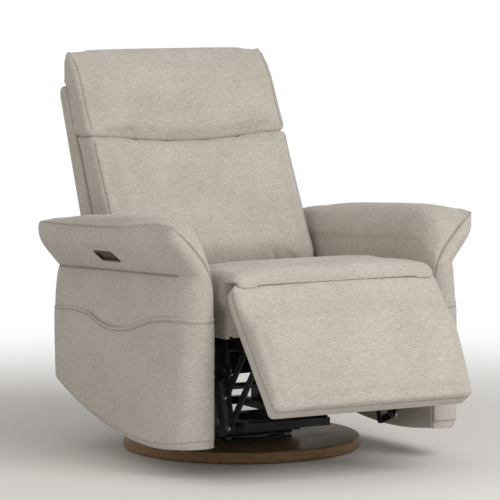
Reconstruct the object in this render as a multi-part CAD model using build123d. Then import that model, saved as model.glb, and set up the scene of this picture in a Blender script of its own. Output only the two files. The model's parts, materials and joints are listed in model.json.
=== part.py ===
from build123d import *
import os
from math import atan2, cos, degrees, hypot, pi, radians, sin, tan

# Upholstered swivel glider with a reclining back and a part-open leg rest.
# Millimetres. The chair faces -Y, +Z is up, and the origin is the middle of the base on the floor.
# Left and right are the sitter's: left is +X. Points written as pairs are (y, z).

# Base and swivel
FELT_R = 284
FELT_T = 2
PLINTH_R = 300
PLINTH_T = 28
PLINTH_ROUND = 4
SWIVEL_PLATE = 200
SWIVEL_PLATE_T = 4
SWIVEL_CORNER = 24
STUD_R = 10
STUD_FIT = 0.05
BEARING_R = 82
BEARING_WIDTH = 26
BEARING_T = 5.7
BEARING_GAP = 0.3
WASHER_R = 20
WASHER_T = 2
NUT_FLATS = 30
NUT_T = 12
SCREW_R = 3
SCREW_LENGTH = 22
SCREW_HEAD_R = 6.5
SCREW_HEAD_T = 3
SCREW_SPACING = 160
HOLE_FIT = 0.1

# Glider frame
CHANNEL_W = 30
CHANNEL_H = 31
CHANNEL_WALL = 2.5
CHANNEL_SPACING = 140
GLIDE_RAIL_W = 25
GLIDE_RAIL_H = 20
GLIDE_RAIL_X = 122
GLIDE_FRONT_Y = -235
GLIDE_REAR_Y = 215
GLIDE_BAR_W = 20
POST_T = 6
POST_W = 40
GLIDE_PIVOT_SPACING = 300
GLIDE_TOP_Z = 205
SWING_LENGTH = 110
SWING_W = 26
SWING_T = 6
LAYER_GAP = 1
GLIDE_PIN_R = 6
PIN_FIT = 0.05
PIN_HEAD_R = 10
PIN_HEAD_T = 5
PIN_SHY = 0.2

# Carriage
CARRIAGE_PLATE_T = 5
CARRIAGE_PLATE_LENGTH = 380
CARRIAGE_PLATE_LIP = 17
CARRIAGE_HOLE_R = 27
CARRIAGE_TUBE = 25
CARRIAGE_TUBE_WALL = 2
CARRIAGE_TUBE_SPACING = 300
CARRIAGE_TUBE_Z = 265
FLANGE_W = 76
FLANGE_H = 44
FLANGE_T = 4

# Seat slides
SLIDE_X = 190
SLIDE_W = 24
SLIDE_H = 14
SLIDE_WALL = 3
SLIDE_LENGTH = 360
RUNNER_PLAY = 1
RUNNER_LIFT = 0.3

# Seat
SEAT_Z = 330
SEAT_RAIL_H = 45
SEAT_RAIL_W = 20
SEAT_FRAME_HALF = 250
SEAT_FRAME_FRONT = -395
SEAT_FRAME_REAR = 200
SEAT_SKIRT_OVER = 8
SEAT_BULGE_OVER = 38
SEAT_FRONT = -413
SEAT_REAR = 100
SEAT_CREST_Z = 507
SEAT_CREST_Y = -345
SEAT_REAR_Z = 444
SEAT_ROLL_Z = 452
SEAT_TOE_ROUND = 30
SEAT_EDGE_DROP = 30
SOFT_GAP = 0.4
EDGE_POWER = 10
WIDTH_SHARES = (-1, -0.95, -0.82, -0.5, 0, 0.5, 0.82, 0.95, 1)
SEAT_ROLL_BULGE = 20
WEBBING_COUNT = 5
WEBBING_SPACING = 84
WEBBING_W = 52
WEBBING_T = 2

# Leg rest
LEG_TILT = 55
LEG_TOP = (-472, 475)
LEG_LENGTH = 338
LEG_THICK = 60
LEG_HALF_TOP = 284
LEG_HALF_TOE = 271
LEG_CROWN = 9
LEG_BELLY = 17
LEG_END_DROP = 16
LEG_END_RUN = 26
LEG_BOARD_T = 15
LEG_BOARD_INSET = 24
LEG_PIVOT_DOWN = 170
LEG_PIVOT_BACK = 97
LIFT_LENGTH = 215
LIFT_ANGLE = 52
SWING_ARM = 140
SWING_ARM_ANGLE = 75
UPPER_KNEE = 65
IDLER_BACK = 50
IDLER_DROP = 20
LINK_W = 18
LINK_T = 5
LEG_PIN_R = 5
LEG_HEAD_R = 8
HANGER_X = 216
HANGER_T = 4
HANGER_W = 30
HANGER_FLANGE_T = 4
TORQUE_TUBE_R = 8
TORQUE_TUBE_DOWN = 40
BRACKET_FLANGE_T = 4
BRACKET_FLANGE_W = 24
BRACKET_FOOT = 62

# Arms
ARM_INNER = 302
ARM_OUTER = 366
ARM_FRONT = -440
ARM_REAR = 312
CREASE_FRONT_Z = 490
CREASE_REAR_Z = 451
CREASE_TUCK = 3
FLARE_OUT = 416
FLARE_RISE = 84
FLARE_BULGE = 10
CROWN_X = 384
CROWN_RISE = 139
CROWN_BULGE = 14
SLOPE_X = 325
SLOPE_RISE = 70
SLOPE_BULGE = 8
INNER_DROP = 25
INNER_BULGE = 6
ARM_LOW_Z = 57
ARM_FRONT_LIFT = 25
ARM_REAR_LIFT = 101
ARM_LOW_Y = -200
ARM_NOSE = 34
ARM_TAIL = 12
ARM_BOARD_X = 322
ARM_BOARD_T = 18
ARM_BOARD_FRONT = -385
ARM_BOARD_REAR = 270
ARM_BOARD_LOW_Z = 165
ARM_BOARD_TOP_Z = 430
ARM_BOLT_R = 4
ARM_BOLT_HEAD_R = 7
ARM_BOLT_HEAD_T = 5
ARM_BOLT_SPACING = 52
POCKET_T = 4
POCKET_SEAM_GAP = 0.3
POCKET_FRONT_Y = -402
POCKET_REAR_Y = 298
POCKET_FRONT_Z = 390
POCKET_REAR_Z = 350
POCKET_DIP_Y = -20
POCKET_DIP_Z = 331
POCKET_CREST_Y = 98
POCKET_CREST_Z = 352
POCKET_RISE_Y = -149
POCKET_RISE_Z = 346
POCKET_SHOULDER = 6
POCKET_HEM = 16

# Back
HINGE = (230, 350)
HINGE_PIN_R = 6
HINGE_LOBE_R = 16
BACK_FRONT_TILT = 27.4
BACK_REAR_TILT = 21.2
BACK_FRONT_FOOT = (103, 456)
BACK_REAR_FOOT = (298, 456)
BOARD_TILT = 24
BOARD_FOOT = (225, 456)
BOARD_T = 18
BOARD_HALF = 246
BOARD_LOW_Z = 425
BOARD_TOP_Z = 890
STRAP_T = 5
STRAP_BEND_Z = 440
STRAP_TOP_Z = 600
BRACKET_T = 5
BRACKET_FOOT_W = 40
LUMBAR_HALF = 284
LUMBAR_LOW_Z = 474
LUMBAR_TUCK_Z = 412
HEAD_HALF = 290
HEAD_LOW_Z = 778
HEAD_SEAM_Z = 972
HEAD_TOP_Y = 415
HEAD_TOP_Z = 1002
HEAD_REAR = (428, 985)
HEAD_ROLL_BULGE = 8
CUSHION_CROWN = 16
CUSHION_PARTING = 2
SIDE_DRAW = 26
SHELL_HALF = 290
SHELL_TOP_Z = 904
SHELL_LOW_Z = 310
SHELL_SKIRT_Y = 264
SHELL_SKIRT_T = 24
SHELL_KNEE_Z = 440
SHELL_DRAW = 14
SHELL_ROUND = 16

# Release pull, in the flare of the right arm
PULL_Y = -34
PULL_SLOPE = 0.5
PULL_LENGTH = 99
PULL_RIM_EASE = 0.01
PULL_HEIGHT = 28
PULL_SLANT = 27
PULL_ROUND = 4
PULL_DEPTH = 24
PULL_WALL = 2
PULL_LIP = 3
PULL_LIP_SINK = 1.5
PULL_LIP_PROUD = 1
PADDLE_T = 4
PADDLE_SINK = 3
PADDLE_GAP = 1.2
PADDLE_PIN_R = 1.6
PADDLE_PIN_INSET = 2.6
CABLE_R = 3
CABLE_FIT = 0.6
CABLE_DEPTH = 18
CABLE_LEAD = 24
CABLE_HOLE_R = 11
CABLE_X = 352
CABLE_BEND = (-45, 455)
CABLE_ENTRY = (-150, 305)
BEND_SHARE = 0.45
LATCH_W = 44
LATCH_DEPTH = 20
LATCH_H = 28
LATCH_X = 262


def save(shape, node):
    """Write one piece, or a group of like pieces, under its node's name."""
    export_step(shape, f"parts/{node}.step")


def block(x_low, x_high, y_low, y_high, z_low, z_high):
    """Square-edged block between two corners."""
    middle = Pos((x_low + x_high) / 2, (y_low + y_high) / 2, (z_low + z_high) / 2)
    return middle * Box(x_high - x_low, y_high - y_low, z_high - z_low)


def rod(radius, x_low, x_high, point):
    """Round rod along X through a (y, z) point."""
    return Pos((x_low + x_high) / 2, point[0], point[1]) * Rot(0, 90, 0) * Cylinder(radius, x_high - x_low)


def disc(radius, z_low, z_high, x=0, y=0):
    """Upright cylinder between two heights."""
    return Pos(x, y, (z_low + z_high) / 2) * Cylinder(radius, z_high - z_low)


def flat_bar(start, end, width, x_low, x_high):
    """Flat bar with round ends, centred on two (y, z) points."""
    run = hypot(end[0] - start[0], end[1] - start[1])
    turn = degrees(atan2(end[1] - start[1], end[0] - start[0]))
    middle = Pos((start[0] + end[0]) / 2, (start[1] + end[1]) / 2) * Rot(0, 0, turn)
    return extrude(Plane.YZ.offset(x_low) * (middle * SlotCenterToCenter(run, width)), x_high - x_low)


def outline(plane, start, *runs):
    """Closed face on a plane: each run is (end,) for a line or (via, end) for an arc."""
    edges = []
    here = plane.from_local_coords(start)
    for run in runs:
        points = [plane.from_local_coords(point) for point in run]
        if len(points) == 1:
            edges.append(Edge.make_line(here, points[0]))
        else:
            edges.append(Edge.make_three_point_arc(here, points[0], points[1]))
        here = points[-1]
    return Face(Wire(edges))


def mirrored(shape):
    """The same piece on the other side of the chair."""
    return mirror(shape, about=Plane.YZ)


def pair(shape):
    """A left piece and its right twin as one group."""
    return Compound(children=[shape, mirrored(shape)])


def both(shape, name):
    """Save a left piece and its right twin as two nodes."""
    save(shape, f"{name}_left")
    save(mirrored(shape), f"{name}_right")


def step_from(point, angle, run):
    """The (y, z) point a run away, at an angle above level, with forward as zero."""
    return (point[0] - run * cos(radians(angle)), point[1] + run * sin(radians(angle)))


def shifted(point, from_point, to_point):
    """A point carried along with the step between two others."""
    return (point[0] + to_point[0] - from_point[0], point[1] + to_point[1] - from_point[1])


def bulged(start, end, bulge):
    """The middle between two points, pushed to the right of the way from one to the other."""
    run = (end[0] - start[0], end[1] - start[1])
    push = bulge / hypot(*run)
    return ((start[0] + end[0]) / 2 + run[1] * push, (start[1] + end[1]) / 2 - run[0] * push)


def on_slope(foot, tilt, z):
    """The y at a height on a line that leans back by a tilt from its foot."""
    return foot[0] + (z - foot[1]) * tan(radians(tilt))


os.makedirs("parts", exist_ok=True)

# Plinth, felt pad and swivel bearing
plinth_top = FELT_T + PLINTH_T
lower_plate_top = plinth_top + SWIVEL_PLATE_T
bearing_top = lower_plate_top + BEARING_T
upper_plate_low = bearing_top + BEARING_GAP
upper_plate_top = upper_plate_low + SWIVEL_PLATE_T
washer_low = upper_plate_top + BEARING_GAP
washer_top = washer_low + WASHER_T
stud_top = washer_top + NUT_T
screw_places = [(x, y) for x in (-SCREW_SPACING / 2, SCREW_SPACING / 2)
                for y in (-SCREW_SPACING / 2, SCREW_SPACING / 2)]

plinth = disc(PLINTH_R, FELT_T, plinth_top)
plinth = fillet(plinth.edges().filter_by(GeomType.CIRCLE), PLINTH_ROUND)
plate_shape = RectangleRounded(SWIVEL_PLATE, SWIVEL_PLATE, SWIVEL_CORNER)
lower_plate = extrude(Pos(0, 0, plinth_top) * plate_shape, SWIVEL_PLATE_T)
screws = []
for x, y in screw_places:
    screw_bottom = lower_plate_top - SCREW_LENGTH
    plinth -= disc(SCREW_R + HOLE_FIT, screw_bottom, plinth_top, x, y)
    lower_plate -= disc(SCREW_R + HOLE_FIT, plinth_top, lower_plate_top, x, y)
    head = disc(SCREW_HEAD_R, lower_plate_top, lower_plate_top + SCREW_HEAD_T, x, y)
    screws.append(head + disc(SCREW_R, screw_bottom, lower_plate_top, x, y))
bearing = disc(BEARING_R, lower_plate_top, bearing_top)
bearing -= disc(BEARING_R - BEARING_WIDTH, lower_plate_top, bearing_top)
upper_plate = extrude(Pos(0, 0, upper_plate_low) * plate_shape, SWIVEL_PLATE_T)
upper_plate -= disc(STUD_R + STUD_FIT, upper_plate_low, upper_plate_top)
washer = disc(WASHER_R, washer_low, washer_top) - disc(STUD_R + STUD_FIT, washer_low, washer_top)
nut_shape = RegularPolygon(NUT_FLATS / 2, 6, major_radius=False)
nut = extrude(Pos(0, 0, washer_top) * nut_shape, NUT_T) - disc(STUD_R + STUD_FIT, washer_top, stud_top)

save(disc(FELT_R, 0, FELT_T), "floor_felt")
save(plinth, "plinth")
save(Compound(children=screws), "plinth_screws")
save(lower_plate + disc(STUD_R, lower_plate_top, stud_top), "swivel_lower_plate")
save(bearing, "swivel_bearing")
save(upper_plate, "swivel_upper_plate")
save(Compound(children=[washer, nut]), "swivel_nut")

# Glider frame: two channels on the swivel, two side rails with posts, and a bar across each end
glide_rail_low = upper_plate_top + CHANNEL_H
glide_rail_top = glide_rail_low + GLIDE_RAIL_H
channels = []
for y in (-CHANNEL_SPACING / 2, CHANNEL_SPACING / 2):
    channel = block(-GLIDE_RAIL_X, GLIDE_RAIL_X, y - CHANNEL_W / 2, y + CHANNEL_W / 2,
                    upper_plate_top, glide_rail_low)
    channel -= block(-GLIDE_RAIL_X, GLIDE_RAIL_X, y - CHANNEL_W / 2 + CHANNEL_WALL,
                     y + CHANNEL_W / 2 - CHANNEL_WALL,
                     upper_plate_top + CHANNEL_WALL, glide_rail_low - CHANNEL_WALL)
    channels.append(channel)
glide_low_z = GLIDE_TOP_Z - SWING_LENGTH
glide_pivots = (-GLIDE_PIVOT_SPACING / 2, GLIDE_PIVOT_SPACING / 2)
post_outer = GLIDE_RAIL_X + POST_T
swing_low_x = post_outer + LAYER_GAP
swing_high_x = swing_low_x + SWING_T
plate_low_x = swing_high_x + LAYER_GAP
plate_high_x = plate_low_x + CARRIAGE_PLATE_T

glide_rail = block(GLIDE_RAIL_X - GLIDE_RAIL_W, GLIDE_RAIL_X, GLIDE_FRONT_Y + GLIDE_BAR_W,
                   GLIDE_REAR_Y - GLIDE_BAR_W, glide_rail_low, glide_rail_top)
posts = []
upper_pins = []
lower_pins = []
for y in glide_pivots:
    post = flat_bar((y, glide_rail_low + POST_W / 2), (y, GLIDE_TOP_Z), POST_W, GLIDE_RAIL_X, post_outer)
    post -= rod(GLIDE_PIN_R + PIN_FIT, GLIDE_RAIL_X, post_outer, (y, GLIDE_TOP_Z))
    posts += [post, mirrored(post)]
    upper_pin = rod(GLIDE_PIN_R, GLIDE_RAIL_X, swing_high_x - PIN_SHY, (y, GLIDE_TOP_Z))
    upper_pin += rod(PIN_HEAD_R, GLIDE_RAIL_X - PIN_HEAD_T, GLIDE_RAIL_X, (y, GLIDE_TOP_Z))
    lower_pin = rod(GLIDE_PIN_R, swing_low_x + PIN_SHY, plate_high_x, (y, glide_low_z))
    lower_pin += rod(PIN_HEAD_R, plate_high_x, plate_high_x + PIN_HEAD_T, (y, glide_low_z))
    upper_pins += [upper_pin, mirrored(upper_pin)]
    lower_pins += [lower_pin, mirrored(lower_pin)]
both(glide_rail, "glide_rail")
save(Compound(children=posts), "glide_posts")
for name, y in (("glide_front_bar", GLIDE_FRONT_Y), ("glide_rear_bar", GLIDE_REAR_Y - GLIDE_BAR_W)):
    save(block(-GLIDE_RAIL_X, GLIDE_RAIL_X, y, y + GLIDE_BAR_W, glide_rail_low, glide_rail_top), name)
save(Compound(children=channels), "glide_channels")
save(Compound(children=upper_pins), "glide_upper_pins")
save(Compound(children=lower_pins), "glide_lower_pins")

# Swing links: flat bars that hang from the posts and carry the carriage
for name, y in zip(("front", "rear"), glide_pivots):
    swing = flat_bar((y, glide_low_z), (y, GLIDE_TOP_Z), SWING_W, swing_low_x, swing_high_x)
    for z in (glide_low_z, GLIDE_TOP_Z):
        swing -= rod(GLIDE_PIN_R + PIN_FIT, swing_low_x, swing_high_x, (y, z))
    both(swing, f"swing_link_{name}")

# Carriage: a plate each side, and two cross tubes with flanges that carry the arms
carriage_tube_top = CARRIAGE_TUBE_Z + CARRIAGE_TUBE
carriage_tubes = (-CARRIAGE_TUBE_SPACING / 2, CARRIAGE_TUBE_SPACING / 2)
carriage_plate = block(plate_low_x, plate_high_x, -CARRIAGE_PLATE_LENGTH / 2, CARRIAGE_PLATE_LENGTH / 2,
                       glide_low_z - CARRIAGE_PLATE_LIP, CARRIAGE_TUBE_Z)
plate_middle_z = (glide_low_z + CARRIAGE_TUBE_Z) / 2
for y in glide_pivots:
    carriage_plate -= rod(GLIDE_PIN_R + PIN_FIT, plate_low_x, plate_high_x, (y, glide_low_z))
    carriage_plate -= rod(CARRIAGE_HOLE_R, plate_low_x, plate_high_x, (y / 2, plate_middle_z))
both(carriage_plate, "carriage_plate")

flange_low_x = ARM_INNER - FLANGE_T
tube_middle_z = CARRIAGE_TUBE_Z + CARRIAGE_TUBE / 2
bolt_places = [(tube_y + offset, tube_middle_z) for tube_y in carriage_tubes
               for offset in (-ARM_BOLT_SPACING / 2, ARM_BOLT_SPACING / 2)]
for name, y in zip(("front", "rear"), carriage_tubes):
    tube = block(-flange_low_x, flange_low_x, y - CARRIAGE_TUBE / 2, y + CARRIAGE_TUBE / 2,
                 CARRIAGE_TUBE_Z, carriage_tube_top)
    bore = CARRIAGE_TUBE / 2 - CARRIAGE_TUBE_WALL
    tube -= block(-flange_low_x, flange_low_x, y - bore, y + bore, tube_middle_z - bore, tube_middle_z + bore)
    flange = block(flange_low_x, ARM_INNER, y - FLANGE_W / 2, y + FLANGE_W / 2,
                   tube_middle_z - FLANGE_H / 2, tube_middle_z + FLANGE_H / 2)
    for place in bolt_places:
        flange -= rod(ARM_BOLT_R + HOLE_FIT, flange_low_x, ARM_INNER, place)
    save(tube + flange + mirrored(flange), f"carriage_{name}_tube")

# Seat slides: an open channel on the cross tubes and a runner bar under the seat
slide_top = carriage_tube_top + SLIDE_H
runner_low = carriage_tube_top + SLIDE_WALL + RUNNER_LIFT
slide = block(SLIDE_X - SLIDE_W / 2, SLIDE_X + SLIDE_W / 2, -SLIDE_LENGTH / 2, SLIDE_LENGTH / 2,
              carriage_tube_top, slide_top)
slide -= block(SLIDE_X - SLIDE_W / 2 + SLIDE_WALL, SLIDE_X + SLIDE_W / 2 - SLIDE_WALL,
               -SLIDE_LENGTH / 2, SLIDE_LENGTH / 2, carriage_tube_top + SLIDE_WALL, slide_top)
runner_half = SLIDE_W / 2 - SLIDE_WALL - RUNNER_PLAY
runner = block(SLIDE_X - runner_half, SLIDE_X + runner_half, SEAT_FRAME_FRONT, SEAT_FRAME_REAR,
               runner_low, SEAT_Z)
save(pair(slide), "seat_slides")
save(pair(runner), "seat_runners")

# Seat frame: two side rails between a front and a rear rail
seat_rail_top = SEAT_Z + SEAT_RAIL_H
side_rail = block(SEAT_FRAME_HALF - SEAT_RAIL_W, SEAT_FRAME_HALF, SEAT_FRAME_FRONT + SEAT_RAIL_W,
                  SEAT_FRAME_REAR - SEAT_RAIL_W, SEAT_Z, seat_rail_top)
cross_rails = [block(-SEAT_FRAME_HALF, SEAT_FRAME_HALF, y, y + SEAT_RAIL_W, SEAT_Z, seat_rail_top)
               for y in (SEAT_FRAME_FRONT, SEAT_FRAME_REAR - SEAT_RAIL_W)]
save(pair(side_rail), "seat_side_rails")
save(Compound(children=cross_rails), "seat_cross_rails")

# Elastic webbing, stapled across the front and rear rails
webbing_top = seat_rail_top + WEBBING_T
webbing_places = [(number - (WEBBING_COUNT - 1) / 2) * WEBBING_SPACING for number in range(WEBBING_COUNT)]
webbing = [block(x - WEBBING_W / 2, x + WEBBING_W / 2, SEAT_FRAME_FRONT + SEAT_RAIL_W / 2,
                 SEAT_FRAME_REAR - SEAT_RAIL_W / 2, seat_rail_top, webbing_top) for x in webbing_places]
save(Compound(children=webbing), "seat_webbing")


def seat_section(share):
    """Side view of the seat top at a share of its half width: front roll, sloping top, drawn-in sides."""
    drop = SEAT_EDGE_DROP * share ** EDGE_POWER + CUSHION_CROWN / 2 * share ** 2
    front = SEAT_FRONT + SEAT_EDGE_DROP / 2 * share ** EDGE_POWER
    crest = (SEAT_CREST_Y, SEAT_CREST_Z - drop)
    roll_foot = (front, SEAT_ROLL_Z - drop)
    rear = (SEAT_REAR, SEAT_REAR_Z - drop)
    plane = Plane.YZ.offset(share * (SEAT_FRAME_HALF + SEAT_BULGE_OVER))
    return outline(plane, (SEAT_REAR, seat_top_low), ((front, seat_top_low),), (roll_foot,),
                   (bulged(crest, roll_foot, SEAT_ROLL_BULGE), crest),
                   (bulged(rear, crest, CUSHION_CROWN / 2), rear), ((SEAT_REAR, seat_top_low),))


# Seat cushion: a crowned top with drawn-in sides over a skirt that wraps the seat frame
seat_top_low = seat_rail_top + SEAT_EDGE_DROP
seat_cushion = loft([seat_section(share) for share in WIDTH_SHARES], ruled=True)
toe_via = SEAT_TOE_ROUND * (1 - sin(radians(45)))
skirt_half = SEAT_FRAME_HALF + SEAT_SKIRT_OVER
skirt_face = outline(Plane.YZ.offset(-skirt_half), (SEAT_REAR, SEAT_Z),
                     ((SEAT_FRONT + SEAT_TOE_ROUND, SEAT_Z),),
                     ((SEAT_FRONT + toe_via, SEAT_Z + toe_via), (SEAT_FRONT, SEAT_Z + SEAT_TOE_ROUND)),
                     ((SEAT_FRONT, seat_top_low),), ((SEAT_REAR, seat_top_low),), ((SEAT_REAR, SEAT_Z),))
seat_cushion += extrude(skirt_face, 2 * skirt_half, dir=(1, 0, 0))
seat_cushion -= block(-SEAT_FRAME_HALF - SOFT_GAP, SEAT_FRAME_HALF + SOFT_GAP, SEAT_FRAME_FRONT - SOFT_GAP,
                      SEAT_REAR, SEAT_Z, webbing_top + SOFT_GAP)
save(seat_cushion, "seat_cushion")

# Leg rest pivots at the photographed opening
leg_along = step_from((0, 0), -LEG_TILT, 1)
leg_out = step_from((0, 0), 90 - LEG_TILT, 1)


def leg_point(down, back):
    """The (y, z) point that lies down the leg rest from its top edge and behind its front face."""
    return (LEG_TOP[0] + down * leg_along[0] - back * leg_out[0],
            LEG_TOP[1] + down * leg_along[1] - back * leg_out[1])


lower_tip = leg_point(LEG_PIVOT_DOWN, LEG_PIVOT_BACK)
lower_knee = step_from(lower_tip, LIFT_ANGLE, -LIFT_LENGTH)
arm_pivot = step_from(lower_knee, -SWING_ARM_ANGLE, -SWING_ARM)
upper_knee = step_from(arm_pivot, -SWING_ARM_ANGLE, UPPER_KNEE)
upper_tip = shifted(lower_tip, lower_knee, upper_knee)
idler_pivot = (arm_pivot[0] + IDLER_BACK, arm_pivot[1] - IDLER_DROP)
idler_knee = shifted(lower_knee, arm_pivot, idler_pivot)
tube_seat = step_from(arm_pivot, -SWING_ARM_ANGLE, TORQUE_TUBE_DOWN)

hanger_high_x = HANGER_X + HANGER_T
arm_low_x = hanger_high_x + LAYER_GAP
arm_high_x = arm_low_x + LINK_T
lift_low_x = arm_high_x + LAYER_GAP
lift_high_x = lift_low_x + LINK_T
tip_low_x = lift_high_x + LAYER_GAP
tip_high_x = tip_low_x + LINK_T


def drilled(shape, points, x_low, x_high):
    """Leg linkage plate with a pin hole at each pivot."""
    for point in points:
        shape -= rod(LEG_PIN_R + PIN_FIT, x_low, x_high, point)
    return shape


def leg_pin(point, x_low, x_high, head_low_x, head_high_x):
    """Riveted pin with one broad head."""
    return rod(LEG_PIN_R, x_low, x_high, point) + rod(LEG_HEAD_R, head_low_x, head_high_x, point)


# Leg hangers: plates flanged under the seat frame, with a pin for each arm
hanger = flat_bar(arm_pivot, idler_pivot, HANGER_W, HANGER_X, hanger_high_x)
hanger += block(HANGER_X, hanger_high_x, arm_pivot[0], idler_pivot[0],
                idler_pivot[1], SEAT_Z - HANGER_FLANGE_T)
hanger += block(HANGER_X, SEAT_FRAME_HALF, arm_pivot[0], idler_pivot[0],
                SEAT_Z - HANGER_FLANGE_T, SEAT_Z)
hanger = drilled(hanger, (arm_pivot, idler_pivot), HANGER_X, hanger_high_x)
hanger_pins = []
for point in (arm_pivot, idler_pivot):
    pin = leg_pin(point, HANGER_X, arm_high_x - PIN_SHY, HANGER_X - PIN_HEAD_T, HANGER_X)
    hanger_pins += [pin, mirrored(pin)]
save(pair(hanger), "leg_hangers")
save(Compound(children=hanger_pins), "hanger_pins")

# Swing arms, joined across the chair by the torque tube
swing_arm = flat_bar(arm_pivot, lower_knee, LINK_W, arm_low_x, arm_high_x)
swing_arm = drilled(swing_arm, (arm_pivot, upper_knee, lower_knee), arm_low_x, arm_high_x)
swing_pins = []
for point in (upper_knee, lower_knee):
    pin = leg_pin(point, arm_low_x, lift_high_x + PIN_SHY, lift_high_x + PIN_SHY, tip_high_x)
    swing_pins += [pin, mirrored(pin)]
save(pair(swing_arm), "swing_arms")
save(rod(TORQUE_TUBE_R, -arm_low_x, arm_low_x, tube_seat), "torque_tube")
save(Compound(children=swing_pins), "swing_arm_pins")

# Idler arms run behind the swing arms, each with its own stud
idler = flat_bar(idler_pivot, idler_knee, LINK_W, arm_low_x, arm_high_x)
idler = drilled(idler, (idler_pivot,), arm_low_x, arm_high_x)
idler += rod(LEG_PIN_R, arm_high_x, lift_high_x - PIN_SHY, idler_knee)
save(pair(idler), "idler_arms")

# Lift links: a bent lower link held by both arms, and a straight upper link above it
lower_lift = flat_bar(lower_knee, lower_tip, LINK_W, lift_low_x, lift_high_x)
lower_lift += flat_bar(idler_knee, lower_knee, LINK_W, lift_low_x, lift_high_x)
lower_lift = drilled(lower_lift, (idler_knee, lower_knee, lower_tip), lift_low_x, lift_high_x)
upper_lift = flat_bar(upper_knee, upper_tip, LINK_W, lift_low_x, lift_high_x)
upper_lift = drilled(upper_lift, (upper_knee, upper_tip), lift_low_x, lift_high_x)
save(pair(lower_lift), "lower_lift_links")
save(pair(upper_lift), "upper_lift_links")

# Leg rest brackets: angles screwed to the board, each with two pivots
foot_high = leg_point(LEG_PIVOT_DOWN - UPPER_KNEE - BRACKET_FOOT / 2, LEG_THICK)
foot_low = leg_point(LEG_PIVOT_DOWN + BRACKET_FOOT, LEG_THICK)
bracket_face = outline(Plane.YZ.offset(tip_low_x), foot_high, (foot_low,), (lower_tip,), (upper_tip,),
                       (foot_high,))
bracket = extrude(bracket_face, LINK_T)
bracket += flat_bar(upper_tip, lower_tip, LINK_W, tip_low_x, tip_high_x)
board_plane = Plane(origin=(0, LEG_TOP[0], LEG_TOP[1]), x_dir=(1, 0, 0),
                    z_dir=(0, leg_along[0], leg_along[1]))
bracket -= board_plane * block(tip_low_x, tip_high_x, -LEG_THICK, 0, 0, LEG_LENGTH)
flange_start = LEG_PIVOT_DOWN - UPPER_KNEE - BRACKET_FOOT / 2
flange_end = LEG_PIVOT_DOWN + BRACKET_FOOT
bracket += board_plane * block(tip_low_x, tip_low_x + BRACKET_FLANGE_W, -LEG_THICK - BRACKET_FLANGE_T,
                               -LEG_THICK, flange_start, flange_end)
bracket = drilled(bracket, (lower_tip, upper_tip), tip_low_x, tip_high_x)
tip_pins = []
for point in (lower_tip, upper_tip):
    pin = rod(LEG_PIN_R, lift_low_x + PIN_SHY, tip_high_x, point)
    tip_pins += [pin, mirrored(pin)]
save(pair(bracket), "leg_rest_brackets")
save(Compound(children=tip_pins), "leg_rest_pins")


def leg_half(down):
    """Half width of the leg rest, which narrows towards its toe."""
    return LEG_HALF_TOP + (LEG_HALF_TOE - LEG_HALF_TOP) * down / LEG_LENGTH


def leg_section(down, drop):
    """Cut across the leg rest: flat back, upright sides, and a bellied front that drops at the ends."""
    half = leg_half(down) - drop / 2
    front = LEG_BELLY * sin(pi * down / LEG_LENGTH) - drop
    side = front - LEG_CROWN
    back = -LEG_THICK + drop / 2
    plane = board_plane.offset(down)
    return outline(plane, (-half, back), ((half, back),), ((half, side - LEG_CROWN),),
                   ((half - LEG_CROWN / 3, side - LEG_CROWN / 3), (half - LEG_CROWN, side)),
                   ((0, front), (LEG_CROWN - half, side)),
                   ((LEG_CROWN / 3 - half, side - LEG_CROWN / 3), (-half, side - LEG_CROWN)),
                   ((-half, back),))


# Leg rest: a padded board, bellied in front and drawn in at both ends
leg_cuts = [(0, LEG_END_DROP), (LEG_END_RUN, 0)]
leg_cuts += [(LEG_LENGTH * share, 0) for share in (0.25, 0.5, 0.75)]
leg_cuts += [(LEG_LENGTH - LEG_END_RUN, 0), (LEG_LENGTH, LEG_END_DROP)]
leg_pad = loft([leg_section(down, drop) for down, drop in leg_cuts], ruled=True)
board_low = LEG_LENGTH - LEG_END_RUN - LEG_BOARD_INSET
board_half = LEG_HALF_TOE - LEG_BOARD_INSET
leg_board = block(-board_half, board_half, -LEG_THICK, -LEG_THICK + LEG_BOARD_T, LEG_BOARD_INSET, board_low)
leg_recess = block(-board_half - SOFT_GAP, board_half + SOFT_GAP, -LEG_THICK,
                   -LEG_THICK + LEG_BOARD_T + SOFT_GAP, LEG_BOARD_INSET - SOFT_GAP, board_low + SOFT_GAP)
save(leg_pad - board_plane * leg_recess, "leg_rest_pad")
save(board_plane * leg_board, "leg_rest_board")

# Arms
arm_pitch = (CREASE_FRONT_Z - CREASE_REAR_Z) / (ARM_REAR - ARM_FRONT)


def crease_z(y):
    """Height of the seam where the flare leaves the upright part of the arm."""
    return CREASE_REAR_Z + (ARM_REAR - y) * arm_pitch


def arm_low(y):
    """Height of the arm's lower edge: a shallow boat line that rises to both ends."""
    if y < ARM_LOW_Y:
        return ARM_LOW_Z + ARM_FRONT_LIFT * ((ARM_LOW_Y - y) / (ARM_LOW_Y - ARM_FRONT)) ** 2
    return ARM_LOW_Z + ARM_REAR_LIFT * ((y - ARM_LOW_Y) / (ARM_REAR - ARM_LOW_Y)) ** 2


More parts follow.
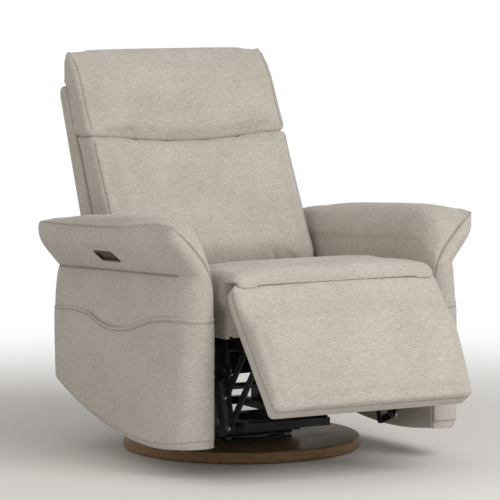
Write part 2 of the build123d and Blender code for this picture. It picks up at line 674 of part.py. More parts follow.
def arm_section(y, draw):
    """Cut across the left arm, drawn in by an even amount where an end is rounded."""
    z = crease_z(y)
    low = arm_low(y) + draw
    outer = ARM_OUTER - draw
    inner = ARM_INNER + draw
    crease = (outer - CREASE_TUCK, z)
    flare = (FLARE_OUT - draw * 1.5, z + FLARE_RISE)
    crown = (CROWN_X - draw / 2, z + CROWN_RISE - draw)
    slope = (SLOPE_X + draw / 2, z + SLOPE_RISE - draw)
    inner_top = (inner, z - INNER_DROP)
    plane = Plane(origin=(0, y, 0), x_dir=(1, 0, 0), z_dir=(0, -1, 0))
    return outline(plane, (inner, low), ((outer, low),), ((outer, z - CREASE_TUCK),), (crease,),
                   (bulged(crease, flare, FLARE_BULGE), flare), (bulged(flare, crown, CROWN_BULGE), crown),
                   (bulged(crown, slope, SLOPE_BULGE), slope),
                   (bulged(slope, inner_top, INNER_BULGE), inner_top), ((inner, low),))


arm_tail = [(ARM_REAR, ARM_TAIL / 2), (ARM_REAR - ARM_TAIL, 0)]
arm_middle = [(ARM_REAR + (ARM_FRONT - ARM_REAR) * share, 0) for share in (0.25, 0.5, 0.75)]
arm_nose = [(ARM_FRONT + ARM_NOSE, 0), (ARM_FRONT + ARM_NOSE / 4, ARM_NOSE / 5), (ARM_FRONT, ARM_NOSE / 2)]
arm = loft([arm_section(y, draw) for y, draw in arm_tail + arm_middle + arm_nose], ruled=True)

arm_board = block(ARM_BOARD_X, ARM_BOARD_X + ARM_BOARD_T, ARM_BOARD_FRONT, ARM_BOARD_REAR,
                  ARM_BOARD_LOW_Z, ARM_BOARD_TOP_Z)
arm -= block(ARM_BOARD_X - SOFT_GAP, ARM_BOARD_X + ARM_BOARD_T + SOFT_GAP, ARM_BOARD_FRONT - SOFT_GAP,
             ARM_BOARD_REAR + SOFT_GAP, ARM_BOARD_LOW_Z - SOFT_GAP, ARM_BOARD_TOP_Z + SOFT_GAP)
arm_bolts = []
bolt_end = ARM_BOARD_X + ARM_BOARD_T
for place in bolt_places:
    arm -= rod(ARM_BOLT_R + HOLE_FIT, ARM_INNER, ARM_BOARD_X, place)
    arm_board -= rod(ARM_BOLT_R + HOLE_FIT, ARM_BOARD_X, bolt_end, place)
    bolt = rod(ARM_BOLT_R, flange_low_x, bolt_end, place)
    bolt += rod(ARM_BOLT_HEAD_R, flange_low_x - ARM_BOLT_HEAD_T, flange_low_x, place)
    arm_bolts += [bolt, mirrored(bolt)]
save(Compound(children=arm_bolts), "arm_bolts")

# Side pockets: flat panels with a scooped mouth, sewn to the outer faces
pocket_plane = Plane.YZ.offset(ARM_OUTER + POCKET_SEAM_GAP)
pocket_rear_crest = ((POCKET_CREST_Y + POCKET_REAR_Y) / 2, POCKET_CREST_Z + POCKET_SHOULDER)
pocket_front_crest = ((POCKET_RISE_Y + POCKET_FRONT_Y) / 2,
                      (POCKET_RISE_Z + POCKET_FRONT_Z) / 2 + POCKET_SHOULDER)
pocket_low_y = [POCKET_FRONT_Y, ARM_LOW_Y, (ARM_LOW_Y + POCKET_REAR_Y) / 2, POCKET_REAR_Y]
pocket_low = [(y, arm_low(y) + POCKET_HEM) for y in pocket_low_y]
pocket_low_via = (ARM_LOW_Y + POCKET_FRONT_Y) / 2
pocket_face = outline(pocket_plane, pocket_low[0],
                      ((pocket_low_via, arm_low(pocket_low_via) + POCKET_HEM), pocket_low[1]),
                      (pocket_low[2], pocket_low[3]), ((POCKET_REAR_Y, POCKET_REAR_Z),),
                      (pocket_rear_crest, (POCKET_CREST_Y, POCKET_CREST_Z)),
                      ((POCKET_DIP_Y, POCKET_DIP_Z), (POCKET_RISE_Y, POCKET_RISE_Z)),
                      (pocket_front_crest, (POCKET_FRONT_Y, POCKET_FRONT_Z)), (pocket_low[0],))
both(extrude(pocket_face, POCKET_T), "side_pocket")

# Release pull: a slanted cup sunk in the flare, drawn on the left and mirrored to the right arm
flare_turn = atan2(FLARE_RISE, FLARE_OUT - ARM_OUTER + CREASE_TUCK)
flare_run = hypot(FLARE_RISE, FLARE_OUT - ARM_OUTER + CREASE_TUCK)
flare_up = Vector(cos(flare_turn), 0, sin(flare_turn))
flare_along = Vector(0, -1, arm_pitch).normalized()
flare_normal = flare_up.cross(flare_along).normalized()
pull_middle = Vector(ARM_OUTER - CREASE_TUCK, PULL_Y, crease_z(PULL_Y))
pull_middle += flare_up * (flare_run / 2) + flare_normal * FLARE_BULGE
pull_way = flare_along * cos(radians(PULL_SLOPE)) - flare_up * sin(radians(PULL_SLOPE))
pull_plane = Plane(origin=pull_middle, x_dir=pull_way, z_dir=flare_normal)
run = PULL_LENGTH / 2
lean = PULL_SLANT / 2
tall = PULL_HEIGHT / 2
pull_rim = Polygon((-run - lean, -tall), (run - lean, -tall), (run + lean, tall), (lean - run, tall),
                   align=None)
pull_rim = fillet(pull_rim.vertices(), PULL_ROUND)


def pull_prism(inset, low, high):
    """Straight-sided body inside the pull's rim, between two depths from the flare."""
    rim = pull_plane * (Pos(0, 0, low) * offset(pull_rim, -inset))
    return extrude(rim, high - low, dir=pull_plane.z_dir)


pull_mouth = PULL_LIP + PULL_WALL
housing = pull_prism(PULL_RIM_EASE, -PULL_LIP_SINK, PULL_LIP_PROUD) + pull_prism(PULL_LIP, -PULL_DEPTH, 0)
housing -= pull_prism(pull_mouth, PULL_WALL - PULL_DEPTH, PULL_LIP_PROUD)
pull_recess = pull_prism(-SOFT_GAP, -PULL_LIP_SINK - SOFT_GAP, FLARE_BULGE)
pull_recess += pull_prism(PULL_LIP - SOFT_GAP, -PULL_DEPTH - SOFT_GAP, 0)

# Paddle: fills the mouth and swings inward on trunnions along its upper edge
paddle_pin_y = pull_mouth + PADDLE_GAP + PADDLE_PIN_INSET - tall
paddle_pin_z = -PADDLE_SINK - PADDLE_T / 2
wall_run = (PULL_LIP + PULL_WALL / 2) * hypot(lean, tall) / tall
paddle_pin = pull_plane * Pos(lean * paddle_pin_y / tall, paddle_pin_y, paddle_pin_z) * Rot(0, 90, 0)
paddle = pull_prism(pull_mouth + PADDLE_GAP, -PADDLE_SINK - PADDLE_T, -PADDLE_SINK)
paddle += paddle_pin * Cylinder(PADDLE_PIN_R, PULL_LENGTH - 2 * wall_run)
housing -= paddle_pin * Cylinder(PADDLE_PIN_R + PIN_FIT, PULL_LENGTH - 2 * wall_run + PULL_WALL)
save(mirrored(housing), "pull_housing")
save(mirrored(paddle), "release_paddle")

# Release cable: runs down inside the right arm and through its board to the latch on the front tube
cable_start = pull_plane.from_local_coords((0, tall - PULL_LIP, -CABLE_DEPTH))
cable_points = [cable_start, cable_start + pull_plane.y_dir * CABLE_LEAD, Vector(CABLE_X, *CABLE_BEND),
                Vector(CABLE_X, *CABLE_ENTRY), Vector(LATCH_X + LATCH_W / 2, *CABLE_ENTRY)]
cable_bends = []
for before, corner, after in zip(cable_points, cable_points[1:], cable_points[2:]):
    half_turn = radians((corner - before).get_angle(after - corner) / 2)
    cable_bends.append(BEND_SHARE * min((corner - before).length, (after - corner).length) / tan(half_turn))
cable_wire = FilletPolyline(*cable_points, radius=cable_bends)
cable_end = Plane(origin=cable_wire @ 0, z_dir=cable_wire % 0)
cable = sweep(cable_end * Circle(CABLE_R), path=cable_wire)
cable_channel = sweep(cable_end * Circle(CABLE_R + CABLE_FIT), path=cable_wire)
latch = block(LATCH_X - LATCH_W / 2, LATCH_X + LATCH_W / 2, carriage_tubes[0] - LATCH_DEPTH / 2,
              carriage_tubes[0] + LATCH_DEPTH / 2, carriage_tube_top, carriage_tube_top + LATCH_H)
save(mirrored(cable), "release_cable")
save(mirrored(latch), "latch_box")

# Arms and the boards inside them; the right one takes the pull and its cable
cable_hole = rod(CABLE_HOLE_R, ARM_BOARD_X, bolt_end, CABLE_ENTRY)
save(arm, "arm_left")
save(mirrored(arm - pull_recess - cable_channel), "arm_right")
save(arm_board, "arm_board_left")
save(mirrored(arm_board - cable_hole), "arm_board_right")

# Back hinge: brackets on the seat's rear rail, and straps up the edges of the back board
strap_low_x = BOARD_HALF
strap_high_x = strap_low_x + STRAP_T
bracket_high_x = strap_low_x - LAYER_GAP
bracket_low_x = bracket_high_x - BRACKET_T
board_slant = cos(radians(BOARD_TILT))


def board_y(z, depth):
    """The y at a height in the back board, at a depth behind its front face."""
    return on_slope(BOARD_FOOT, BOARD_TILT, z) + depth / board_slant


strap_bend = (board_y(STRAP_BEND_Z, BOARD_T / 2), STRAP_BEND_Z)
strap_top = (board_y(STRAP_TOP_Z, BOARD_T / 2), STRAP_TOP_Z)
strap = flat_bar(HINGE, strap_bend, BOARD_T, strap_low_x, strap_high_x)
strap += flat_bar(strap_bend, strap_top, BOARD_T, strap_low_x, strap_high_x)
strap += rod(HINGE_LOBE_R, strap_low_x, strap_high_x, HINGE)
strap -= rod(HINGE_PIN_R + PIN_FIT, strap_low_x, strap_high_x, HINGE)
hinge_low_z = HINGE[1] - HINGE_LOBE_R
hinge_high_z = HINGE[1] + HINGE_LOBE_R
hinge_plate = block(bracket_low_x, bracket_high_x, SEAT_FRAME_REAR, HINGE[0], hinge_low_z, hinge_high_z)
hinge_plate += rod(HINGE_LOBE_R, bracket_low_x, bracket_high_x, HINGE)
hinge_plate += block(bracket_high_x - BRACKET_FOOT_W, bracket_high_x, SEAT_FRAME_REAR,
                     SEAT_FRAME_REAR + BRACKET_T, hinge_low_z, hinge_high_z)
hinge_plate -= rod(HINGE_PIN_R + PIN_FIT, bracket_low_x, bracket_high_x, HINGE)
hinge_pin = rod(HINGE_PIN_R, bracket_low_x, strap_high_x + PIN_SHY, HINGE)
hinge_pin += rod(PIN_HEAD_R, bracket_low_x - PIN_HEAD_T, bracket_low_x, HINGE)
hinge_pin += rod(PIN_HEAD_R, strap_high_x + PIN_SHY, strap_high_x + PIN_HEAD_T, HINGE)
save(pair(strap), "back_straps")
save(pair(hinge_plate), "back_brackets")
save(pair(hinge_pin), "hinge_pins")

# Back board: a flat panel between the straps
board_rise = (sin(radians(BOARD_TILT)), cos(radians(BOARD_TILT)))
board_top = (board_y(BOARD_TOP_Z, 0), BOARD_TOP_Z)
board_top_rear = (board_top[0] + BOARD_T * board_rise[1], board_top[1] - BOARD_T * board_rise[0])
board_foot = (board_y(BOARD_LOW_Z, 0), BOARD_LOW_Z)
board_foot_rear = (board_foot[0] + BOARD_T * board_rise[1], board_foot[1] - BOARD_T * board_rise[0])
board_side = outline(Plane.YZ.offset(-BOARD_HALF), board_foot, (board_foot_rear,), (board_top_rear,),
                     (board_top,), (board_foot,))
save(extrude(board_side, 2 * BOARD_HALF, dir=(1, 0, 0)), "back_board")


def back_front(z):
    """The y of the back's leaning front at a height."""
    return on_slope(BACK_FRONT_FOOT, BACK_FRONT_TILT, z)


def side_draw(share):
    """How far a cushion's front is drawn back at a share of its half width."""
    return SIDE_DRAW * share ** EDGE_POWER + CUSHION_CROWN / 2 * share ** 2


def lumbar_section(share):
    """Side view of the lumbar cushion: flat on the board, crowned in front, tucked in below."""
    draw = side_draw(share)
    top_z = HEAD_LOW_Z - CUSHION_PARTING
    low = (back_front(LUMBAR_LOW_Z) + draw, LUMBAR_LOW_Z)
    top = (back_front(top_z) + draw, top_z)
    tuck = (board_y(LUMBAR_TUCK_Z, -SOFT_GAP), LUMBAR_TUCK_Z)
    return outline(Plane.YZ.offset(share * LUMBAR_HALF), tuck, (low,),
                   (bulged(top, low, CUSHION_CROWN), top), ((board_y(top_z, -SOFT_GAP), top_z),), (tuck,))


def head_section(share):
    """Side view of the head cushion: crowned in front, rolled over the top, seated on the shell."""
    draw = side_draw(share)
    low = (back_front(HEAD_LOW_Z) + draw, HEAD_LOW_Z)
    seam = (back_front(HEAD_SEAM_Z) + draw, HEAD_SEAM_Z)
    top = (HEAD_TOP_Y, HEAD_TOP_Z - draw / 2)
    rear = (HEAD_REAR[0], HEAD_REAR[1] - draw / 2)
    seat_z = SHELL_TOP_Z + SOFT_GAP
    heel = (board_y(BOARD_LOW_Z, -SOFT_GAP) + board_top[0] - board_foot[0], BOARD_TOP_Z)
    start = (board_y(HEAD_LOW_Z, -SOFT_GAP), HEAD_LOW_Z)
    return outline(Plane.YZ.offset(share * HEAD_HALF), start, (low,),
                   (bulged(seam, low, CUSHION_CROWN / 2), seam), (bulged(top, seam, HEAD_ROLL_BULGE), top),
                   (rear,), ((HEAD_REAR[0], seat_z),), ((heel[0], seat_z),), (heel,), (start,))


def shell_section(share):
    """Side view of the rear shell: leans with the board, wraps its top and drops a skirt behind the seat."""
    draw = SHELL_DRAW * share ** EDGE_POWER
    knee = (on_slope(BACK_REAR_FOOT, BACK_REAR_TILT, SHELL_KNEE_Z) - draw, SHELL_KNEE_Z)
    round_z = SHELL_TOP_Z - SHELL_ROUND
    shoulder = (on_slope(BACK_REAR_FOOT, BACK_REAR_TILT, round_z) - draw, round_z)
    crest = (shoulder[0] - SHELL_ROUND, SHELL_TOP_Z)
    lip_y = board_top[0] + SOFT_GAP
    corner = (board_top_rear[0] + 2 * SOFT_GAP, board_top_rear[1] + SOFT_GAP)
    inner = (board_y(SHELL_KNEE_Z, BOARD_T + SOFT_GAP), SHELL_KNEE_Z)
    hem = (SHELL_SKIRT_Y, SHELL_LOW_Z)
    hem_rear = (SHELL_SKIRT_Y + SHELL_SKIRT_T - draw, SHELL_LOW_Z)
    return outline(Plane.YZ.offset(share * SHELL_HALF), hem, (hem_rear,), (knee,), (shoulder,),
                   (bulged(shoulder, crest, SHELL_ROUND / 4), crest), ((lip_y, SHELL_TOP_Z),),
                   ((lip_y, BOARD_TOP_Z + 2 * SOFT_GAP),), (corner,), (inner,),
                   ((SHELL_SKIRT_Y, SHELL_KNEE_Z),), (hem,))


# Back upholstery: lumbar and head cushions on the board, and the shell behind it
save(loft([lumbar_section(share) for share in WIDTH_SHARES], ruled=True), "lumbar_cushion")
save(loft([head_section(share) for share in WIDTH_SHARES], ruled=True), "head_cushion")
save(loft([shell_section(share) for share in WIDTH_SHARES], ruled=True), "back_shell")
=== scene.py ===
import json
import math

import bmesh
import bpy
import numpy as np
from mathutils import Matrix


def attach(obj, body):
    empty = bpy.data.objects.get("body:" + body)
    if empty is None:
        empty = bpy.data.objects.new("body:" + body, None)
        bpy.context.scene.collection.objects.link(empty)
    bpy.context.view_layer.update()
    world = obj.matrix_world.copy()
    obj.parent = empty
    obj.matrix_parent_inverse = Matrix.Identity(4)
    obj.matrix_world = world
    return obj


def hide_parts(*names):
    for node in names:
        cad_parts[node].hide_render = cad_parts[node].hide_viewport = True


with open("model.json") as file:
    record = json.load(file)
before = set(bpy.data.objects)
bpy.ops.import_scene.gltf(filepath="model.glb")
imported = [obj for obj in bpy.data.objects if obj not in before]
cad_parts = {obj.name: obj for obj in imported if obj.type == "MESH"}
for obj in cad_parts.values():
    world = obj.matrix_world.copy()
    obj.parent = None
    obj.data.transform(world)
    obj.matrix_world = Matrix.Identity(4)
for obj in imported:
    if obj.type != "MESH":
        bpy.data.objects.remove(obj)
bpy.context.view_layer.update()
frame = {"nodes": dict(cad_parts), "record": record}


# Plinth: a turned disc of brown-stained wood with a satin lacquer, its edge eased by hand.
# A felt pad is glued under it, and a swivel plate is screwed on top.

def new_material(name, roughness, specular=0.5, metallic=0.0):
    """An empty surface with its shader's constants set; returns the material, its nodes, links and shader."""
    material = bpy.data.materials.new(name)
    material.use_nodes = True
    nodes, links = material.node_tree.nodes, material.node_tree.links
    shader = nodes["Principled BSDF"]
    shader.inputs["Roughness"].default_value = roughness
    shader.inputs["Specular IOR Level"].default_value = specular
    shader.inputs["Metallic"].default_value = metallic
    return material, nodes, links, shader


def place_noise(nodes, links, scale, detail, stretch=(1, 1, 1)):
    """Noise on object coordinates, stretched along the axes; returns its factor socket."""
    where = nodes.new("ShaderNodeTexCoord")
    mapping = nodes.new("ShaderNodeMapping")
    mapping.inputs["Scale"].default_value = stretch
    noise = nodes.new("ShaderNodeTexNoise")
    noise.inputs["Scale"].default_value = scale
    noise.inputs["Detail"].default_value = detail
    links.new(where.outputs["Object"], mapping.inputs["Vector"])
    links.new(mapping.outputs["Vector"], noise.inputs["Vector"])
    return noise.outputs["Fac"]


def ramp(nodes, links, factor, stops):
    """Colour ramp through (place, linear colour) stops; returns its colour socket."""
    node = nodes.new("ShaderNodeValToRGB")
    marks = node.color_ramp.elements
    while len(marks) < len(stops):
        marks.new(0.5)
    for mark, (place, colour) in zip(marks, stops):
        mark.position = place
        mark.color = (*colour, 1)
    links.new(factor, node.inputs["Fac"])
    return node.outputs["Color"]


def add_bump(nodes, links, shader, height, strength, depth):
    """Bump from a height socket, depth in metres."""
    bump = nodes.new("ShaderNodeBump")
    bump.inputs["Strength"].default_value = strength
    bump.inputs["Distance"].default_value = depth
    links.new(height, bump.inputs["Height"])
    links.new(bump.outputs["Normal"], shader.inputs["Normal"])


def dress(node, material):
    """Gives a CAD node a finished material."""
    slots = frame["nodes"][node].data.materials
    slots.clear()
    slots.append(material)


plinth_wood, nodes, links, shader = new_material("walnut_stain", 0.34, 0.45)
grain = place_noise(nodes, links, 9, 6, (1, 14, 14))
links.new(ramp(nodes, links, grain, [(0.25, (0.145, 0.083, 0.035)), (0.5, (0.240, 0.142, 0.062)),
                                     (0.75, (0.330, 0.202, 0.092))]), shader.inputs["Base Color"])
links.new(ramp(nodes, links, grain, [(0.3, (0.42, 0.42, 0.42)), (0.7, (0.28, 0.28, 0.28))]),
          shader.inputs["Roughness"])
add_bump(nodes, links, shader, grain, 0.25, 0.0006)
dress("plinth", plinth_wood)

felt, nodes, links, shader = new_material("felt_pad", 0.95, 0.1)
fluff = place_noise(nodes, links, 400, 3)
links.new(ramp(nodes, links, fluff, [(0.3, (0.010, 0.009, 0.008)), (0.7, (0.030, 0.028, 0.025))]),
          shader.inputs["Base Color"])
add_bump(nodes, links, shader, fluff, 0.6, 0.0008)
dress("floor_felt", felt)


# Swivel, glider and recliner chassis: pressed and tubular steel in satin black powder coat,
# riveted and welded, with zinc pins at the pivots and a nylon ring in the swivel.

black_steel, nodes, links, shader = new_material("black_powder_coat", 0.45, 0.5, 0.35)
grit = place_noise(nodes, links, 700, 2)
rub = place_noise(nodes, links, 22, 5)
links.new(ramp(nodes, links, rub, [(0.35, (0.010, 0.010, 0.011)), (0.68, (0.026, 0.026, 0.028)),
                                   (0.80, (0.060, 0.060, 0.062))]), shader.inputs["Base Color"])
links.new(ramp(nodes, links, rub, [(0.3, (0.50, 0.50, 0.50)), (0.75, (0.34, 0.34, 0.34))]),
          shader.inputs["Roughness"])
add_bump(nodes, links, shader, grit, 0.3, 0.0003)

zinc, nodes, links, shader = new_material("zinc_plate", 0.38, 0.5, 1.0)
tarnish = place_noise(nodes, links, 90, 4)
links.new(ramp(nodes, links, tarnish, [(0.3, (0.30, 0.30, 0.31)), (0.7, (0.52, 0.52, 0.53))]),
          shader.inputs["Base Color"])
links.new(ramp(nodes, links, tarnish, [(0.3, (0.48, 0.48, 0.48)), (0.7, (0.30, 0.30, 0.30))]),
          shader.inputs["Roughness"])
add_bump(nodes, links, shader, tarnish, 0.15, 0.0003)

nylon, nodes, links, shader = new_material("bearing_nylon", 0.5, 0.4)
cloudy = place_noise(nodes, links, 60, 3)
links.new(ramp(nodes, links, cloudy, [(0.3, (0.42, 0.41, 0.38)), (0.7, (0.55, 0.54, 0.50))]),
          shader.inputs["Base Color"])
add_bump(nodes, links, shader, cloudy, 0.1, 0.0004)

plywood, nodes, links, shader = new_material("birch_ply", 0.7, 0.25)
plies = place_noise(nodes, links, 12, 6, (3, 3, 30))
links.new(ramp(nodes, links, plies, [(0.3, (0.30, 0.20, 0.11)), (0.7, (0.50, 0.37, 0.22))]),
          shader.inputs["Base Color"])
add_bump(nodes, links, shader, plies, 0.3, 0.0006)

webbing, nodes, links, shader = new_material("elastic_webbing", 0.9, 0.15)
ribs = place_noise(nodes, links, 60, 2, (30, 1, 1))
links.new(ramp(nodes, links, ribs, [(0.3, (0.008, 0.008, 0.008)), (0.7, (0.030, 0.030, 0.030))]),
          shader.inputs["Base Color"])
add_bump(nodes, links, shader, ribs, 0.5, 0.0006)

finishes = {"steel_black": black_steel, "zinc": zinc, "nylon": nylon, "plywood": plywood, "webbing": webbing}
for part in frame["record"]["subparts"]:
    if part["material_slot"] in finishes:
        dress(part["node"], finishes[part["material_slot"]])


# Upholstery: a heathered, slightly slubby woven fabric in warm grey, with a soft pile.
# Its seams show as a narrow pressed line with painted shade along it, which each piece carries as its own
# attribute.

upholstery, nodes, links, shader = new_material("heather_weave", 0.92, 0.12)
shader.inputs["Sheen Weight"].default_value = 0.22
shader.inputs["Sheen Roughness"].default_value = 0.45
shader.inputs["Sheen Tint"].default_value = (1.0, 0.97, 0.93, 1)


def mixed(first, second, share, blend="MIX"):
    """Two sockets mixed at a fixed share."""
    node = nodes.new("ShaderNodeMix")
    node.data_type = "RGBA"
    node.blend_type = blend
    node.inputs[0].default_value = share
    links.new(first, node.inputs[6])
    links.new(second, node.inputs[7])
    return node.outputs[2]


pile = place_noise(nodes, links, 700, 3)
weft = place_noise(nodes, links, 150, 3, (1.4, 1.4, 5.5))
warp = place_noise(nodes, links, 150, 3, (5.5, 5.5, 1.4))
heather = place_noise(nodes, links, 75, 3, (1, 1, 6))
wear = place_noise(nodes, links, 9, 3)
threads = mixed(weft, warp, 0.4)
fibre = mixed(threads, pile, 0.4)
tone = mixed(mixed(fibre, heather, 0.26), wear, 0.10)
yarn = ramp(nodes, links, tone, [(0.36, (0.330, 0.300, 0.262)), (0.47, (0.490, 0.455, 0.410)),
                                 (0.55, (0.590, 0.555, 0.508)), (0.66, (0.740, 0.708, 0.660))])
# The seam share darkens the yarn colour: painted shade along the seams, creases and hems.
seam_mark = nodes.new("ShaderNodeAttribute")
seam_mark.attribute_name = "seam"
painted_seam_shade = ramp(nodes, links, seam_mark.outputs["Fac"], [(0.0, (1, 1, 1)), (1.0, (0.66, 0.64, 0.61))])
links.new(mixed(yarn, painted_seam_shade, 1.0, "MULTIPLY"), shader.inputs["Base Color"])
add_bump(nodes, links, shader, fibre, 0.55, 0.0022)


def spline(at, knots, values):
    """Smooth curve through knots: cubic pieces whose slope at a knot is a weighted mean of the slopes of the
    runs on its two sides, and at an end knot the slope of the one run there."""
    at, knots, values = np.asarray(at, float), np.asarray(knots, float), np.asarray(values, float)
    slopes = np.gradient(values, knots)
    cell = np.clip(np.searchsorted(knots, at) - 1, 0, len(knots) - 2)
    width = knots[cell + 1] - knots[cell]
    t = np.clip((at - knots[cell]) / width, 0, 1)
    return ((2 * t ** 3 - 3 * t ** 2 + 1) * values[cell] + (t ** 3 - 2 * t ** 2 + t) * width * slopes[cell]
            + (3 * t ** 2 - 2 * t ** 3) * values[cell + 1] + (t ** 3 - t ** 2) * width * slopes[cell + 1])


def grid_faces(rows, columns, closed):
    """Quads of a grid of points, its columns joined into rings when closed."""
    index = np.arange(rows * columns).reshape(rows, columns)
    right = np.roll(index, -1, axis=1) if closed else index[:, 1:]
    left = index if closed else index[:, :-1]
    return np.stack([left[:-1], right[:-1], right[1:], left[1:]], axis=-1).reshape(-1, 4)


def make_piece(name, points, faces, material):
    """Mesh object at the origin from points and equal-sided faces: smooth shaded, its doubles merged and its
    faces turned outward."""
    mesh = bpy.data.meshes.new(name)
    mesh.from_pydata(np.asarray(points).reshape(-1, 3).tolist(), [], np.asarray(faces).tolist())
    work = bmesh.new()
    work.from_mesh(mesh)
    bmesh.ops.remove_doubles(work, verts=work.verts, dist=1e-6)
    bmesh.ops.recalc_face_normals(work, faces=work.faces)
    work.to_mesh(mesh)
    work.free()
    mesh.polygons.foreach_set("use_smooth", np.ones(len(mesh.polygons), bool))
    mesh.materials.append(material)
    piece = bpy.data.objects.new(name, mesh)
    bpy.context.scene.collection.objects.link(piece)
    return piece


def rounded(corners, radii, count):
    """Closed line of evenly spaced points: straight runs, and at each corner a parabola that starts and ends
    its radius away from the corner."""
    corners = np.asarray(corners, float)
    to_last = np.roll(corners, 1, axis=0) - corners
    to_next = np.roll(corners, -1, axis=0) - corners
    reach = np.asarray(radii, float)[:, None]
    start = corners + to_last / np.linalg.norm(to_last, axis=1, keepdims=True) * reach
    end = corners + to_next / np.linalg.norm(to_next, axis=1, keepdims=True) * reach
    t = np.linspace(0, 1, 12)[None, :, None]
    bends = (1 - t) ** 2 * start[:, None] + 2 * t * (1 - t) * corners[:, None] + t ** 2 * end[:, None]
    line = bends.reshape(-1, 2)
    line = np.vstack([line, line[:1]])
    along = np.concatenate([[0], np.cumsum(np.linalg.norm(np.diff(line, axis=0), axis=1))])
    at = np.linspace(0, along[-1], count, endpoint=False)
    return np.stack([np.interp(at, along, line[:, 0]), np.interp(at, along, line[:, 1])], axis=1)


def boxed(outline, half, edge, step=0.012):
    """Side view carried across the width: full between the edges, drawn in along a quarter circle of the
    edge's radius at each side, or less where the largest circle that fits inside is smaller, and closed by
    side panels."""
    ahead = np.roll(outline, -1, axis=0) - np.roll(outline, 1, axis=0)
    inward = np.stack([-ahead[:, 1], ahead[:, 0]], axis=1)
    inward /= np.linalg.norm(inward, axis=1, keepdims=True)
    turned = np.sum(outline[:, 0] * np.roll(outline[:, 1], -1) - np.roll(outline[:, 0], -1) * outline[:, 1])
    inward *= np.sign(turned)
    gap = outline[None] - outline[:, None]
    facing = np.maximum(np.einsum("ijk,ik->ij", gap, inward), 1e-7)
    room = 0.9 * np.min((gap ** 2).sum(axis=2) / (2 * facing) + 1e3 * np.eye(len(outline)), axis=1)
    turn = np.linspace(0, np.pi / 2, 7)
    run = np.arange(0, 1, step / (half - edge)) * (half - edge)
    across = np.concatenate([run, half - edge + edge * np.sin(turn), np.full(3, half)])
    draw = np.concatenate([np.zeros(len(run)), edge * (1 - np.cos(turn)), np.full(3, edge)])
    shrink = np.concatenate([np.ones(len(run) + len(turn)), [0.7, 0.35, 0.0]])
    across = np.concatenate([-across[:0:-1], across])
    draw = np.concatenate([draw[:0:-1], draw])
    shrink = np.concatenate([shrink[:0:-1], shrink])
    middle = outline.mean(axis=0)
    ring = outline[None] + inward[None] * np.minimum(draw[:, None], room[None])[..., None]
    ring = middle + (ring - middle) * shrink[:, None, None]
    wide = np.broadcast_to(across[:, None, None], (*ring.shape[:2], 1))
    return np.concatenate([wide, ring], axis=2)


def settled(piece, change):
    """The piece's mesh after a modifier that the change sets up, which is then taken off again."""
    modifier = change(piece)
    shape = piece.evaluated_get(bpy.context.evaluated_depsgraph_get())
    mesh = bpy.data.meshes.new_from_object(shape)
    piece.modifiers.remove(modifier)
    material = piece.data.materials[0]
    old, piece.data = piece.data, mesh
    name = old.name
    bpy.data.meshes.remove(old)
    mesh.name = name
    mesh.materials.clear()
    mesh.materials.append(material)
    mesh.polygons.foreach_set("use_smooth", np.ones(len(mesh.polygons), bool))


def positions(mesh):
    """All of a mesh's points as an array."""
    flat = np.empty(len(mesh.vertices) * 3, np.float32)
    mesh.vertices.foreach_get("co", flat)
    return flat.reshape(-1, 3).astype(float)


def voxels(size):
    """Remesh modifier that turns a shape into an even skin."""
    def add(piece):
        modifier = piece.modifiers.new("skin", "REMESH")
        modifier.mode = "VOXEL"
        modifier.voxel_size = size
        return modifier
    return add


def halved(piece):
    """One level of subdivision."""
    modifier = piece.modifiers.new("smooth", "SUBSURF")
    modifier.levels = modifier.render_levels = 1
    return modifier


def stuffed(piece, pressure, cap, held):
    """Fills a piece as padding fills a cover: its skin is blown up as cloth for twenty steps, no point moves
    further than the cap, and the share that held() gives stays where it is."""
    before = positions(piece.data)
    after = before
    cloth = piece.modifiers.new("cover", "CLOTH")
    cloth.settings.quality = 4
    cloth.settings.mass = 0.3
    cloth.settings.tension_stiffness = cloth.settings.compression_stiffness = 14
    cloth.settings.shear_stiffness = 5
    cloth.settings.bending_stiffness = 0.6
    cloth.settings.use_pressure = True
    cloth.settings.uniform_pressure_force = pressure
    cloth.settings.effector_weights.gravity = 0
    cloth.point_cache.frame_start, cloth.point_cache.frame_end = 1, 20
    for step in range(1, 21):
        bpy.context.scene.frame_set(step)
    shape = piece.evaluated_get(bpy.context.evaluated_depsgraph_get()).to_mesh()
    after = positions(shape)
    piece.modifiers.remove(cloth)
    bpy.context.scene.frame_set(1)
    move = after - before
    length = np.linalg.norm(move, axis=1, keepdims=True) + 1e-9
    move *= cap * np.tanh(length / cap) / length * (1 - held(before))[:, None]
    piece.data.vertices.foreach_set("co", (before + move).astype(np.float32).ravel())
    settled(piece, halved)


